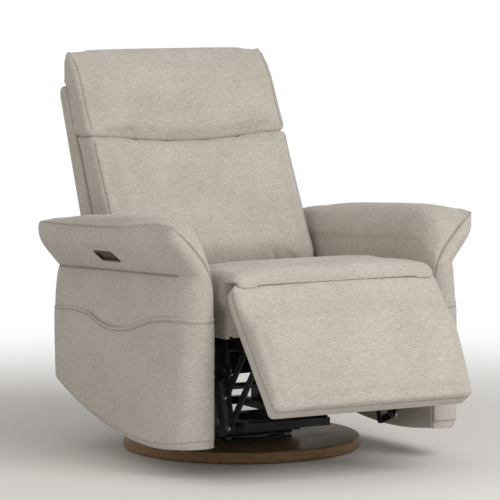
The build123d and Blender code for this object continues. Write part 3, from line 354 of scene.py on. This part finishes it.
def sewn(piece, lines, width=0.0024, depth=0.0022):
    """Presses seams into a piece: each seam is laid on the surface at the points nearest to it, and every point
    sinks along its normal by the depth times a bell curve of its distance; the seam attribute holds that
    share, which the fabric darkens as painted shade along the seam."""
    mesh = piece.data
    here = positions(mesh)
    normals = np.empty(len(here) * 3, np.float32)
    mesh.vertices.foreach_get("normal", normals)
    nearest = np.full(len(here), 1.0)
    for line in lines:
        line = np.asarray(line, float)
        along = np.concatenate([[0], np.cumsum(np.linalg.norm(np.diff(line, axis=0), axis=1))])
        at = np.linspace(0, along[-1], int(along[-1] / 0.012) + 2)
        line = np.stack([np.interp(at, along, line[:, axis]) for axis in range(3)], axis=1)
        close = np.argmin(((here[None] - line[:, None]) ** 2).sum(axis=2), axis=1)
        laid = here[close]
        laid[1:-1] = (laid[:-2] + 2 * laid[1:-1] + laid[2:]) / 4
        for start, end in zip(laid[:-1], laid[1:]):
            run = end - start
            t = np.clip((here - start) @ run / max(run @ run, 1e-9), 0, 1)
            nearest = np.minimum(nearest, np.linalg.norm(here - start - t[:, None] * run, axis=1))
    share = np.exp(-(nearest / width) ** 2)
    here -= normals.reshape(-1, 3) * (depth * share)[:, None]
    mesh.vertices.foreach_set("co", here.astype(np.float32).ravel())
    # This share is the painted shade that the fabric lays along the seam.
    mark = mesh.attributes.get("seam") or mesh.attributes.new("seam", "FLOAT", "POINT")
    mark.data.foreach_set("value", share.astype(np.float32))
    mesh.update()


def upholstered(piece, body, fill, *nodes_replaced):
    """Attaches a soft piece to its body and hides the CAD nodes it stands for; its filling, fill, is not used.
    """
    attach(piece, body)
    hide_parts(*nodes_replaced)


# Seat cushion: foam over elastic webbing, in a boxed cover whose rolled front lip hooks over the leg rest.
# The cover wraps the seat frame, coloured near black as painted shade under the seat, with its front foot cut
# back for the lift links, and a flap at its rear runs in below the back.

# The seat frame's plywood is near black: painted shade, standing for the dark underside below the seat.
frame_ply_painted_shade, nodes, links, shader = new_material("seat_frame_painted_shade", 0.7, 0.25)
frame_ply_grain = place_noise(nodes, links, 12, 6, (3, 3, 30))
links.new(ramp(nodes, links, frame_ply_grain, [(0.3, (0.010, 0.008, 0.006)), (0.7, (0.030, 0.023, 0.017))]),
          shader.inputs["Base Color"])
add_bump(nodes, links, shader, frame_ply_grain, 0.3, 0.0006)
dress("seat_side_rails", frame_ply_painted_shade)
dress("seat_cross_rails", frame_ply_painted_shade)
dress("seat_runners", frame_ply_painted_shade)

seat_half, seat_edge, seat_foot = 0.280, 0.022, 0.329
seat_spread, seat_droop, seat_tuck = 0.036, 0.014, 0.020
cover_net = 0.0055
seat_corners = [(-0.392, seat_foot), (-0.409, 0.352), (-0.409, 0.474), (-0.462, 0.480), (-0.4795, 0.464),
                (-0.477, 0.488), (-0.458, 0.505), (-0.365, 0.506), (-0.10, 0.470), (0.100, 0.440),
                (0.103, 0.404), (0.148, 0.402), (0.148, 0.386), (0.100, 0.381), (0.100, seat_foot)]
seat_radii = [0.003, 0.003, 0.010, 0.006, 0.002, 0.010, 0.014, 0.040, 0.06, 0.018,
              0.004, 0.005, 0.005, 0.004, 0.003]
seat_side = rounded(seat_corners, seat_radii, 300)
seat_points = boxed(seat_side, seat_half, seat_edge)
# The foot is flat, the top spreads toward the arms behind the lip, its ends droop, and the sides tuck in low.
at_foot = (seat_points[..., 2] < 0.356) & (seat_points[..., 1] > -0.391)
seat_points[..., 2] = np.where(at_foot, seat_foot, seat_points[..., 2])
upper = np.clip((seat_points[..., 2] - 0.41) / 0.03, 0, 1)
seat_points[..., 0] *= 1 + seat_spread * upper * np.clip((seat_points[..., 1] + 0.34) / 0.10, 0, 1)
level = np.clip((seat_points[..., 2] - 0.42) / 0.05, 0, 1)
seat_points[..., 2] -= level * seat_droop * np.abs(seat_points[..., 0] / seat_half) ** 5
tuck = (1 - level) * np.clip((0.42 - seat_points[..., 2]) / 0.02, 0, 1) * seat_tuck
seat_points[..., 0] -= np.sign(seat_points[..., 0]) * np.minimum(tuck, np.abs(seat_points[..., 0]))
seat = make_piece("seat_cushion_cover", seat_points, grid_faces(*seat_points.shape[:2], True), upholstery)


def seat_held(point):
    """Share of the seat's skin that keeps still: all of its underside and back, which rest on the frame, and of
    its front lip, and most of its sides."""
    under = np.clip((0.40 - point[:, 2]) / 0.04, 0, 1)
    rear = np.clip((point[:, 1] - 0.06) / 0.03, 0, 1)
    front = np.clip((-0.27 - point[:, 1]) / 0.06, 0, 1)
    side = 0.7 * np.clip((np.abs(point[:, 0]) - 0.24) / 0.03, 0, 1)
    return np.clip(np.maximum.reduce([under, rear, front, side]), 0, 1)


settled(seat, voxels(cover_net))
stuffed(seat, 4.0, 0.010, seat_held)
sewn(seat, [])
upholstered(seat, "seat", 0.8, "seat_cushion")


# Leg rest: a foam-topped board in a boxed cover, narrowing to the toe, screwed to the lift linkage.
# A narrow band is sewn round its sides and toe.

leg_tilt = math.radians(55)
leg_top = np.array([-0.472, 0.475])
leg_length, leg_thick = 0.338, 0.060
leg_half_top, leg_half_toe, leg_edge = 0.290, 0.274, 0.016
leg_belly, leg_side_fall, leg_top_fall = 0.022, 0.006, 0.003
leg_down = np.array([-math.cos(leg_tilt), -math.sin(leg_tilt)])
leg_front = np.array([-math.sin(leg_tilt), math.cos(leg_tilt)])
leg_over, leg_back = -0.004, 0.001 - leg_thick
leg_outline = rounded([(leg_over, 0), (leg_length, 0), (leg_length, leg_back), (leg_over, leg_back)],
                      [0.006, 0.010, 0.008, 0.020], 170)


def leg_half(at):
    """Half width of the leg rest, narrowing evenly from its top to its toe."""
    return leg_half_top + (leg_half_toe - leg_half_top) * at / leg_length


box_half = 0.26
leg_side = boxed(leg_outline, box_half, leg_edge)
across, down, out = leg_side[..., 0], leg_side[..., 1], leg_side[..., 2]
across = across * leg_half(down) / box_half * (1 - 0.03 * np.clip(1 - down / 0.06, 0, 1) ** 2)
share = np.clip(1 + out / 0.03, 0, 1)
# The face bellies from below the seat's lip to the toe, and falls away a little to its sides and its top edge.
belly = leg_belly * np.sin(np.pi * np.clip(down / leg_length, 0, 1)) * np.clip((down - 0.03) / 0.09, 0, 1) ** 1.5
falls = leg_side_fall * (across / 0.28) ** 2, leg_top_fall * np.clip(1 - down / 0.035, 0, 1.1) ** 2
out = out + share * (belly - falls[0] - falls[1])
leg_place = leg_top + down[..., None] * leg_down + out[..., None] * leg_front
leg_points = np.concatenate([across[..., None], leg_place], axis=2)
leg_rest = make_piece("leg_rest_cover", leg_points, grid_faces(*leg_points.shape[:2], True), upholstery)


def leg_held(point):
    """Share of the leg rest's skin that keeps still: all of its back, which lies on the board, and most of its
    sides, its toe and the strip below the seat's lip."""
    flat = point[:, 1:] - leg_top
    depth = flat @ leg_front
    at = flat @ leg_down
    back = np.clip((-0.040 - depth) / 0.012, 0, 1)
    side = 0.8 * np.clip((np.abs(point[:, 0]) - leg_half(at) + 0.03) / 0.02, 0, 1)
    toe = 0.8 * np.clip((at - leg_length + 0.03) / 0.02, 0, 1)
    top = 0.85 * np.clip((0.11 - at) / 0.05, 0, 1)
    return np.maximum.reduce([back, side, toe, top])


settled(leg_rest, voxels(cover_net))
stuffed(leg_rest, 4.0, 0.010, leg_held)


def leg_line(places):
    """Points on the leg rest from (share of its half width, way down, way out) triples."""
    places = np.asarray(places, float)
    yz = leg_top + places[:, 1:2] * leg_down + places[:, 2:3] * leg_front
    return np.concatenate([(places[:, 0] * leg_half(places[:, 1]))[:, None], yz], axis=1)


band = 0.022
sewn(leg_rest, [leg_line([(-0.98, leg_length, -band), (0.98, leg_length, -band)]),
                leg_line([(-1, leg_length, -band), (-1, 0.02, -band)]),
                leg_line([(1, leg_length, -band), (1, 0.02, -band)])])
upholstered(leg_rest, "leg_rest", 0.8, "leg_rest_pad")


# Back: a lower cushion, a head cushion that hangs over its top edge, and a padded rear shell, all drawn over
# one plywood board. The head cushion's lower edge sags in the middle; flanks close the shell to the cushions.

def sag(points, low, high, amount, half=0.29):
    """Lowers points by a parabola across the width, fully below the first height and not at all above the
    second."""
    share = np.clip((high - points[..., 2]) / (high - low), 0, 1)
    points[..., 2] -= amount * share * np.clip(1 - (points[..., 0] / half) ** 2, 0, 1)


lumbar_side = rounded([(0.203, 0.414), (0.121, 0.433), (0.118, 0.476), (0.274, 0.782), (0.366, 0.782)],
                      [0.012, 0.016, 0.024, 0.012, 0.008], 140)
lumbar_half, lumbar_edge, lumbar_hollow = 0.290, 0.018, 0.024
lumbar_points = boxed(lumbar_side, lumbar_half, lumbar_edge)
drop = np.clip((lumbar_points[..., 2] - 0.62) / 0.155, 0, 1)
lumbar_points[..., 2] -= lumbar_hollow * drop * (1 - (lumbar_points[..., 0] / lumbar_half) ** 2)
lumbar = make_piece("lumbar_cover", lumbar_points, grid_faces(*lumbar_points.shape[:2], True), upholstery)
settled(lumbar, voxels(cover_net))


def back_held(point):
    """Share of a back cushion's skin that keeps still: all that lies on the board, nearly all of the top edge
    and most of the side bands, so that the front swells most."""
    board_y, board_z, board_lean = 0.225, 0.456, math.radians(24)
    face = board_y + (point[:, 2] - board_z) * math.tan(board_lean)
    rear = np.clip((point[:, 1] - face + 0.035) / 0.03, 0, 1)
    side = 0.7 * np.clip((np.abs(point[:, 0]) - 0.235) / 0.03, 0, 1)
    top = 0.9 * np.clip((point[:, 2] - 0.93) / 0.04, 0, 1)
    return np.maximum.reduce([rear, side, top])


stuffed(lumbar, 4.0, 0.018, back_held)
lumbar_seam = np.array([(0.130, 0.490), (0.272, 0.765)])
sewn(lumbar, [np.column_stack([np.full(2, side * 0.280), lumbar_seam]) for side in (-1, 1)])
upholstered(lumbar, "back", 0.75, "lumbar_cushion")

head_side = rounded([(0.276, 0.779), (0.381, 0.983), (0.434, 1.004), (0.430, 0.907),
                     (0.420, 0.906), (0.367, 0.779)], [0.026, 0.050, 0.032, 0.006, 0.004, 0.008], 170)
head_half, head_edge, head_sag = 0.293, 0.014, 0.032
shoulder_droop, shoulder_narrow = 0.012, 0.06
head_points = boxed(head_side, head_half, head_edge)
sag(head_points, 0.779, 0.87, head_sag)
shoulder = np.clip((head_points[..., 2] - 0.90) / 0.09, 0, 1)
head_points[..., 2] -= shoulder_droop * shoulder * np.abs(head_points[..., 0] / head_half) ** 5
head_points[..., 0] *= 1 - shoulder_narrow * np.clip((head_points[..., 2] - 0.955) / 0.05, 0, 1) ** 2
head = make_piece("head_cover", head_points, grid_faces(*head_points.shape[:2], True), upholstery)
settled(head, voxels(cover_net))
stuffed(head, 4.0, 0.012, back_held)
head_seam = np.array([(0.278, 0.800), (0.369, 0.968), (0.413, 0.999)])
sewn(head, [np.column_stack([np.full(3, side * 0.282), head_seam]) for side in (-1, 1)])
upholstered(head, "back", 0.75, "head_cushion")

shell_side = rounded([(0.265, 0.314), (0.287, 0.314), (0.2915, 0.440), (0.4635, 0.885), (0.452, 0.9030),
                      (0.420, 0.9030), (0.420, 0.893), (0.436, 0.884), (0.240, 0.443), (0.265, 0.443)],
                     [0.007, 0.007, 0.030, 0.014, 0.010, 0.003, 0.003, 0.008, 0.003, 0.003], 220)
shell_half, shell_edge, shell_crown = 0.288, 0.009, 0.006
shell_points = boxed(shell_side, shell_half, shell_edge)
# The rear face is crowned outward in its middle.
rear_line = 0.298 + (shell_points[..., 2] - 0.456) * math.tan(math.radians(21.2))
rear_face = np.clip(1 - (rear_line - shell_points[..., 1]) / 0.012, 0, 1) * (shell_points[..., 2] > 0.44)
crown = np.sin(np.pi * np.clip((shell_points[..., 2] - 0.44) / 0.46, 0, 1))
shell_points[..., 1] += shell_crown * rear_face * crown * (1 - (shell_points[..., 0] / 0.29) ** 4)
flank_side = rounded([(0.222, 0.446), (0.245, 0.446), (0.440, 0.884), (0.417, 0.884)],
                     [0.005, 0.005, 0.006, 0.006], 120)
flank_half, flank_edge, flank_x = 0.0175, 0.004, 0.2695
flank_points = boxed(flank_side, flank_half, flank_edge)
shell_faces = grid_faces(*shell_points.shape[:2], True)
flank_faces = grid_faces(*flank_points.shape[:2], True)
flanks = [flank_points + np.array([side * flank_x, 0, 0]) for side in (-1, 1)]
shell_count, flank_count = shell_points[..., 0].size, flank_points[..., 0].size
shell = make_piece("back_shell_cover",
                   np.concatenate([shell_points.reshape(-1, 3), *[flank.reshape(-1, 3) for flank in flanks]]),
                   np.concatenate([shell_faces, flank_faces + shell_count,
                                   flank_faces + shell_count + flank_count]),
                   upholstery)
settled(shell, voxels(0.005))
upholstered(shell, "back", 0.5, "back_shell")


# Arms: padded boards bolted to the carriage, flaring outward above a tucked crease to a sewn rim.
# The inner panel rolls over the top; in front the outer panel wraps round to a seam on the inner edge.

arm_rear, rear_depth = 0.312, 0.012
nose_start, nose_depth, nose_turn = -0.375, 0.054, 2.2
arm_front = nose_start - nose_depth * math.sin(nose_turn)
inner_face = 0.302
seam_z = np.array([0.060, 0.35, 0.45, 0.47, 0.48, 0.49, 0.50, 0.51, 0.52, 0.53, 0.54, 0.56, 0.58,
                   0.60, 0.612, 0.62])
seam_x = np.array([0.306, 0.305, 0.308, 0.312, 0.315, 0.318, 0.323, 0.329, 0.334, 0.342, 0.350, 0.368, 0.3865,
                   0.4075, 0.4185, 0.419])


def arm_low(y):
    """Height of the arm's lower edge: two parabolas from its lowest place, ahead of the middle, up to both
    ends."""
    return 0.057 + np.where(y < -0.2, 0.025 * ((-0.2 - y) / 0.24) ** 2, 0.101 * ((y + 0.2) / 0.512) ** 2)


def arm_crease(y):
    """Height of the tucked crease, rising evenly to the front."""
    return 0.490 - 0.039 * (np.clip(y, -0.44, 0.312) + 0.44) / 0.752


def arm_rim(y):
    """Height of the flare's sewn rim along the arm: a smooth curve through its heights."""
    return spline(y, [-0.45, -0.418, -0.375, -0.29, -0.185, -0.077, 0.033, 0.118, 0.205, 0.293, 0.32],
                  [0.610, 0.612, 0.6145, 0.606, 0.592, 0.5825, 0.5765, 0.572, 0.569, 0.5675, 0.565])


def outer_x(y, z):
    """Outer face: bowing out to the front and a little to its foot, puffed below the crease and flaring above
    it to the rim."""
    crease, rim, low = arm_crease(y), arm_rim(y), arm_low(y)
    below = np.clip((crease - z) / (crease - low), 0, 1)
    bow = np.clip((0.05 - y) / 0.40, 0, 1)
    spread, puff, bow_out, flare_out = 0.040, 0.010, 0.012, 0.057
    face = 0.364 + spread * np.clip(crease - z, 0, 1) + puff * np.sin(np.pi * below ** 0.6)
    face = face + bow_out * bow ** 2 * (3 - 2 * bow)
    rise = np.clip((z - crease) / (rim - crease), 0, 1)
    flare = spline(rise, [0, 0.2, 0.41, 0.6, 0.79, 1], [0, 0.35, 0.71, 0.95, 1.03, 0.95])
    return face + flare_out * flare


def outer_point(y, turn, z):
    """Point of the outer panel at a height: on the straight run by its place along the arm, and round the nose
    by the turn, along an ellipse that ends on the front seam; a turn below zero rounds the rear end."""
    face = outer_x(np.clip(y, arm_front, arm_rear - rear_depth), z)
    reach = math.cos(nose_turn)
    front_middle = (np.interp(z, seam_z, seam_x) - reach * face) / (1 - reach)
    middle = np.where(turn < 0, (face + inner_face) / 2, front_middle)
    return np.stack([middle + (face - middle) * np.cos(turn), y, z], axis=-1)


# Stations run from the rear to the nose, and round it; at each, the outside goes up from the foot to the rim.
run = np.linspace(arm_rear - rear_depth, nose_start, 84, endpoint=False)
turns = np.linspace(0, nose_turn, 28)
station_y = np.concatenate([run, nose_start - nose_depth * np.sin(turns)])
station_turn = np.concatenate([np.zeros(len(run)), turns])
wrap = station_turn[:, None] * np.pi / 2 / nose_turn
y = np.concatenate([run[:, None], nose_start + (arm_front - nose_start) * np.sin(wrap[len(run):])])
low, crease, rim = arm_low(y), arm_crease(y), arm_rim(y)
foot = np.linspace(0, np.pi / 2, 5)[None, :]
face_share = 1 - (1 - np.linspace(0, 1, 31)[None, 1:]) ** 1.6
flare_share = np.linspace(0, 1, 23)[None, 1:] ** 1.25
edge_round = 0.014
height = np.concatenate([low + 0 * foot[:, :2], low + edge_round * (1 - np.cos(foot)),
                         low + edge_round + (crease - low - edge_round) * face_share,
                         crease + (rim - crease) * flare_share], axis=1)
outside = outer_point(y + 0 * height, station_turn[:, None] + 0 * height, height)
plump = np.clip((rim - height) / 0.06, 0, 1)
outside[..., 1] += plump ** 2 * (3 - 2 * plump) * (station_y[:, None] - y)
pull_in = np.concatenate([[0.034, 0.024], edge_round * (1 - np.sin(foot[0])), np.zeros(52)])
outside[..., 0] -= pull_in * np.cos(wrap)

# The inside goes from the rim over the crown and down the inner side, and meets the front seam at the nose.
inner_x = np.array([0.414, 0.409, 0.398, 0.382, 0.362, 0.343, 0.326, 0.313, 0.304, 0.301, 0.300, 0.301])
inner_up = np.array([0, 0.014, 0.024, 0.029, 0.025, 0.010, -0.015, -0.045, -0.085, -0.13, -0.2, -0.3])
inner_run = np.concatenate([[0], np.cumsum(np.hypot(np.diff(inner_x), np.diff(inner_up)))])
top_run = np.linspace(0, 1, 23) * inner_run[8]
crown_x = spline(top_run, inner_run, inner_x)
crown_up = spline(top_run, inner_run, inner_up)
crown = spline(y, [-0.42, -0.375, -0.33, -0.29, -0.185, -0.077, 0.033, 0.118, 0.205, 0.293, 0.32],
               [0, 0.0045, 0.012, 0.0175, 0.0285, 0.032, 0.0305, 0.027, 0.018, 0.0055, 0]) / 0.029
crown_z = rim + np.where(crown_up > 0, crown_up * crown, crown_up)
side_foot = crown_z[:, -1:]
side_share = np.linspace(0, 1, 37)[None, 1:]
side_z = side_foot + (low - side_foot) * side_share
side_x = np.interp(side_share, [0, 0.2, 0.95, 1], [0.304, 0.3005, 0.302, 0.306]) + 0 * side_z
inside_x = np.concatenate([crown_x[None, :] + 0 * crown_z, side_x], axis=1)[:, ::-1]
inside_z = np.concatenate([crown_z, side_z], axis=1)[:, ::-1]
inside = np.stack([inside_x, y + 0 * inside_x, inside_z], axis=-1)
meet = 1 - np.sqrt(1 - np.clip((y + 0.28) / (arm_front + 0.28), 0, 1) ** 2)[..., None]
fold = np.interp(height, seam_z, seam_x)
front = np.stack([fold, y + 0 * fold, height], axis=-1)
inside = inside * (1 - meet) + front * meet
middle = (outside + inside) / 2
close = np.linspace(np.pi / 2, 0, 10, endpoint=False)[:, None, None]
rear_cap = [middle[:1] + (side[:1] - middle[:1]) * np.cos(close) ** 0.4
            + np.array([0, rear_depth, 0]) * np.sin(close) for side in (outside, inside)]
outside = np.concatenate([rear_cap[0], outside])
inside = np.concatenate([rear_cap[1], inside])
arm_points = np.concatenate([outside, inside[:, -2::-1]], axis=1)
crease_line = np.stack([outer_x(run, arm_crease(run)), run, arm_crease(run)], axis=-1)
arm_seams = [crease_line, outside[:, -1], inside[-1]]


def pocket_top(y):
    """Height of the side pocket's scooped hem along the arm: a smooth curve through its heights."""
    return spline(y, [-0.45, -0.383, -0.254, -0.202, -0.149, -0.084, -0.013, 0.042, 0.098, 0.155, 0.32],
                  [0.386, 0.389, 0.374, 0.361, 0.346, 0.335, 0.331, 0.338, 0.352, 0.357, 0.347])


def arm_held(point):
    """Share of an arm's skin that keeps still: the seams, both ends, all that the pocket panel covers, and
    nearly all of the flat inner side."""
    x, along, z = np.abs(point[:, 0]), point[:, 1], point[:, 2]
    outward = x > 0.34
    crease_near = np.exp(-((z - arm_crease(along)) / 0.012) ** 2) * outward
    rim_near = np.exp(-((z - arm_rim(along)) / 0.010) ** 2) * (x > 0.39)
    covered = np.clip((pocket_top(along) + 0.02 - z) / 0.02, 0, 1)
    ends = np.maximum(np.clip((along - 0.25) / 0.03, 0, 1), np.clip((-0.38 - along) / 0.03, 0, 1))
    inner_flat = (x < 0.309) * 0.9
    return np.clip(np.maximum.reduce([crease_near, rim_near, covered, ends, inner_flat]), 0, 1)


pull_place = np.array([-0.3980, -0.0343, 0.5056])
pull_normal = np.array([-0.8454, -0.0277, -0.5334])
pull_way = np.array([0.0047, -0.9990, 0.0444])
pull_down = np.array([0.5341, -0.0351, -0.8447])
pull_half, pull_tall, pull_lean = 0.0495, 0.014, 0.0135


def recessed(piece):
    """Sinks the arm's skin round the release pull, on a finer net: just below the cup's lip outside its slanted
    outline, easing off by a parabola, and below the cup's floor inside it."""
    work = bmesh.new()
    work.from_mesh(piece.data)
    work.edges.ensure_lookup_table()
    ends = np.empty(len(piece.data.edges) * 2, np.int32)
    piece.data.edges.foreach_get("vertices", ends)
    offset = positions(piece.data)[ends.reshape(-1, 2)].mean(axis=1) - pull_place
    place = offset @ np.stack([pull_normal, pull_way, pull_down], axis=1)
    finer = (0.03, 0.080, 0.028)
    near = (np.abs(place) < finer).all(axis=1)
    bmesh.ops.subdivide_edges(work, edges=[work.edges[index] for index in np.flatnonzero(near)], cuts=3,
                              use_grid_fill=True)
    work.to_mesh(piece.data)
    work.free()
    here = positions(piece.data)
    offset = here - pull_place
    height, tall = offset @ pull_normal, offset @ pull_down
    wide = offset @ pull_way - pull_lean * tall / pull_tall
    inside = np.minimum(pull_half - np.abs(wide), pull_tall - np.abs(tall))
    below_lip, ease, below_floor = 0.0012, 12, 0.025
    most = -below_lip + ease * np.clip(-inside, 0, 1) ** 2 - below_floor * np.clip(inside / 0.003, 0, 1)
    here += pull_normal * np.minimum(most - height, 0)[:, None] * (height > -0.02)[:, None]
    piece.data.vertices.foreach_set("co", here.astype(np.float32).ravel())
    piece.data.polygons.foreach_set("use_smooth", np.ones(len(piece.data.polygons), bool))
    piece.data.update()


# The pocket panel lies on the outer face from the rear's rounding to the nose, slack along its hem.
rear_turns = np.linspace(1.1, 0, 8, endpoint=False)
panel_y = np.concatenate([arm_rear - rear_depth + rear_depth * np.sin(rear_turns), station_y])
panel_turn = np.concatenate([-rear_turns, station_turn])
panel_y, panel_turn = panel_y[:-1, None], panel_turn[:-1, None]
panel_low = arm_low(panel_y) + 0.016
panel_up = np.linspace(0, 1, 60)[None, :]
panel_z = panel_low + (pocket_top(panel_y) - panel_low) * panel_up
panel = outer_point(panel_y + 0 * panel_z, panel_turn + 0 * panel_z, panel_z)
panel_out = np.cross(np.gradient(panel, axis=0), np.gradient(panel, axis=1))
panel_out /= -np.linalg.norm(panel_out, axis=2, keepdims=True)
slack = 0.004 * np.exp(-((panel_y - 0.02) / 0.10) ** 2) * panel_up ** 3
panel_lift = 0.0022
panel = panel + panel_out * (panel_lift + slack[..., None])


def thickened(piece):
    """Cloth thickness laid inward."""
    modifier = piece.modifiers.new("thickness", "SOLIDIFY")
    modifier.thickness = 0.003
    modifier.offset = -1
    return modifier


for side, word in ((1, "left"), (-1, "right")):
    flip = np.array([side, 1, 1])
    arm = make_piece(f"arm_{word}_cover", arm_points * flip, grid_faces(*arm_points.shape[:2], True),
                     upholstery)
    stuffed(arm, 3.0, 0.004, arm_held)
    if side < 0:
        recessed(arm)
    sewn(arm, [line * flip for line in arm_seams])
    upholstered(arm, "carriage", 0.7, f"arm_{word}")
    pocket = make_piece(f"side_pocket_{word}_panel", panel * flip, grid_faces(*panel.shape[:2], False),
                        upholstery)
    settled(pocket, thickened)
    sewn(pocket, [panel[:, -3] * flip], 0.0020, 0.0012)
    upholstered(pocket, "carriage", 0.3, f"side_pocket_{word}")


# Dust cloth: thin black non-woven cloth stapled between the rear ends of the arms, below the back.
# It shuts off the view under the seat, its near-black sheet partly painted shade for the dark underside there,
# and its lower hem hangs a little slack.

# A black dust cover, hung here also as painted shade: its near-black sheet darkens the view under the seat.
nonwoven_painted_shade, nodes, links, shader = new_material("black_nonwoven_painted_shade", 0.95, 0.1)
web = place_noise(nodes, links, 500, 3)
links.new(ramp(nodes, links, web, [(0.3, (0.006, 0.006, 0.006)), (0.7, (0.018, 0.018, 0.017))]),
          shader.inputs["Base Color"])
add_bump(nodes, links, shader, web, 0.4, 0.0004)
cloth_half, cloth_top, cloth_drop, cloth_back = 0.300, 0.292, 0.150, 0.288
cloth_x = np.linspace(-cloth_half, cloth_half, 61)[:, None]
cloth_way = np.linspace(0, 1, 25)[None, :]
cloth_slack = (1 - (cloth_x / cloth_half) ** 2) * cloth_way
cloth_y = cloth_back + 0.006 * cloth_slack + 0.0015 * cloth_slack * np.sin(45 * cloth_x + 4 * cloth_way)
cloth_z = cloth_top - cloth_drop * cloth_way - 0.004 * cloth_slack
cloth_points = np.stack([cloth_x + 0 * cloth_way, cloth_y, cloth_z], axis=-1)
dust_cloth_shade_sheet = make_piece("rear_dust_cloth_shade_sheet", cloth_points, grid_faces(61, 25, False), nonwoven_painted_shade)
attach(dust_cloth_shade_sheet, "carriage")


# Release pull: a moulded brown plastic cup set in the arm's flare with a sprung paddle in it.
# Its black-sleeved cable runs down inside the arm to the latch box.

pull_plastic, nodes, links, shader = new_material("brown_plastic", 0.42, 0.5)
mould = place_noise(nodes, links, 500, 2)
links.new(ramp(nodes, links, mould, [(0.3, (0.030, 0.018, 0.012)), (0.7, (0.052, 0.032, 0.021))]),
          shader.inputs["Base Color"])
add_bump(nodes, links, shader, mould, 0.25, 0.0003)
dress("pull_housing", pull_plastic)
dress("release_paddle", pull_plastic)

cable_sleeve, nodes, links, shader = new_material("cable_sleeve", 0.6, 0.4)
braid = place_noise(nodes, links, 600, 2)
links.new(ramp(nodes, links, braid, [(0.3, (0.008, 0.008, 0.008)), (0.7, (0.025, 0.025, 0.025))]),
          shader.inputs["Base Color"])
add_bump(nodes, links, shader, braid, 0.4, 0.0004)
dress("release_cable", cable_sleeve)


# Studio: a pale floor that keeps the shadow, a white surround for the camera, and soft lamps.

floor_paint, nodes, links, shader = new_material("pale_floor", 0.9, 0.1)
shader.inputs["Base Color"].default_value = (0.80, 0.79, 0.78, 1)
middle_place = nodes.new("ShaderNodeTexCoord")
reach = nodes.new("ShaderNodeVectorMath")
reach.operation = "LENGTH"
fade = nodes.new("ShaderNodeMapRange")
fade.interpolation_type = "SMOOTHSTEP"
fade.inputs["From Min"].default_value = 0.75
fade.inputs["From Max"].default_value = 2.6
clear = nodes.new("ShaderNodeBsdfTransparent")
edge_mix = nodes.new("ShaderNodeMixShader")
links.new(middle_place.outputs["Object"], reach.inputs[0])
links.new(reach.outputs["Value"], fade.inputs["Value"])
links.new(fade.outputs["Result"], edge_mix.inputs["Fac"])
links.new(shader.outputs["BSDF"], edge_mix.inputs[1])
links.new(clear.outputs["BSDF"], edge_mix.inputs[2])
links.new(edge_mix.outputs["Shader"], nodes["Material Output"].inputs["Surface"])
floor_reach = 3.0
floor_points = np.array([(-floor_reach, -floor_reach, 0), (floor_reach, -floor_reach, 0),
                         (floor_reach, floor_reach, 0), (-floor_reach, floor_reach, 0)])
floor = make_piece("floor", floor_points, [(0, 1, 2, 3)], floor_paint)

world = bpy.data.worlds.new("studio")
bpy.context.scene.world = world
world.use_nodes = True
nodes, links = world.node_tree.nodes, world.node_tree.links
surround = nodes["Background"]
surround.inputs["Color"].default_value = (1, 0.97, 0.93, 1)
surround.inputs["Strength"].default_value = 0.50
seen = nodes.new("ShaderNodeBackground")
seen.inputs["Color"].default_value = (1, 1, 1, 1)
seen.inputs["Strength"].default_value = 1.0
rays = nodes.new("ShaderNodeLightPath")
choice = nodes.new("ShaderNodeMixShader")
links.new(rays.outputs["Is Camera Ray"], choice.inputs["Fac"])
links.new(surround.outputs["Background"], choice.inputs[1])
links.new(seen.outputs["Background"], choice.inputs[2])
links.new(choice.outputs["Shader"], nodes["World Output"].inputs["Surface"])


def lamp(name, place, aim, size, power, colour):
    """Square soft lamp at a place, turned to look at its aim."""
    light = bpy.data.lights.new(name, "AREA")
    light.size = size
    light.energy = power
    light.color = colour
    holder = bpy.data.objects.new(name, light)
    bpy.context.scene.collection.objects.link(holder)
    back = np.array(place, float) - np.array(aim, float)
    back /= np.linalg.norm(back)
    side = np.cross((0, 0, 1), back)
    side /= np.linalg.norm(side)
    turn = np.eye(4)
    turn[:3, :4] = np.column_stack([side, np.cross(back, side), back, place])
    holder.matrix_world = turn.T.tolist()


lamp("key", (1.2, -3.6, 3.0), (0, 0, 0.5), 2.6, 108, (1, 0.99, 0.97))
lamp("fill", (-3.6, -1.6, 2.0), (0, 0, 0.5), 2.6, 20, (1, 0.94, 0.86))

view_turn, view_lift, view_away = math.radians(-28.976), math.radians(5.9236), 8.0
view_side = np.array([math.cos(view_turn), math.sin(view_turn), 0])
view_back = np.array([math.sin(view_turn) * math.cos(view_lift), -math.cos(view_turn) * math.cos(view_lift),
                      math.sin(view_lift)])
lens = bpy.data.cameras.new("photo_camera")
lens.sensor_width = 36
lens.lens = 227.7
lens.shift_x, lens.shift_y = 0.01674, 0.03895
camera = bpy.data.objects.new("photo_camera", lens)
bpy.context.scene.collection.objects.link(camera)
stand = np.eye(4)
stand[:3, :4] = np.column_stack([view_side, np.cross(view_back, view_side), view_back,
                                 np.array([0, 0, 0.45]) + view_away * view_back])
camera.matrix_world = stand.T.tolist()
bpy.context.scene.camera = camera
bpy.context.scene.view_settings.view_transform = "Standard"
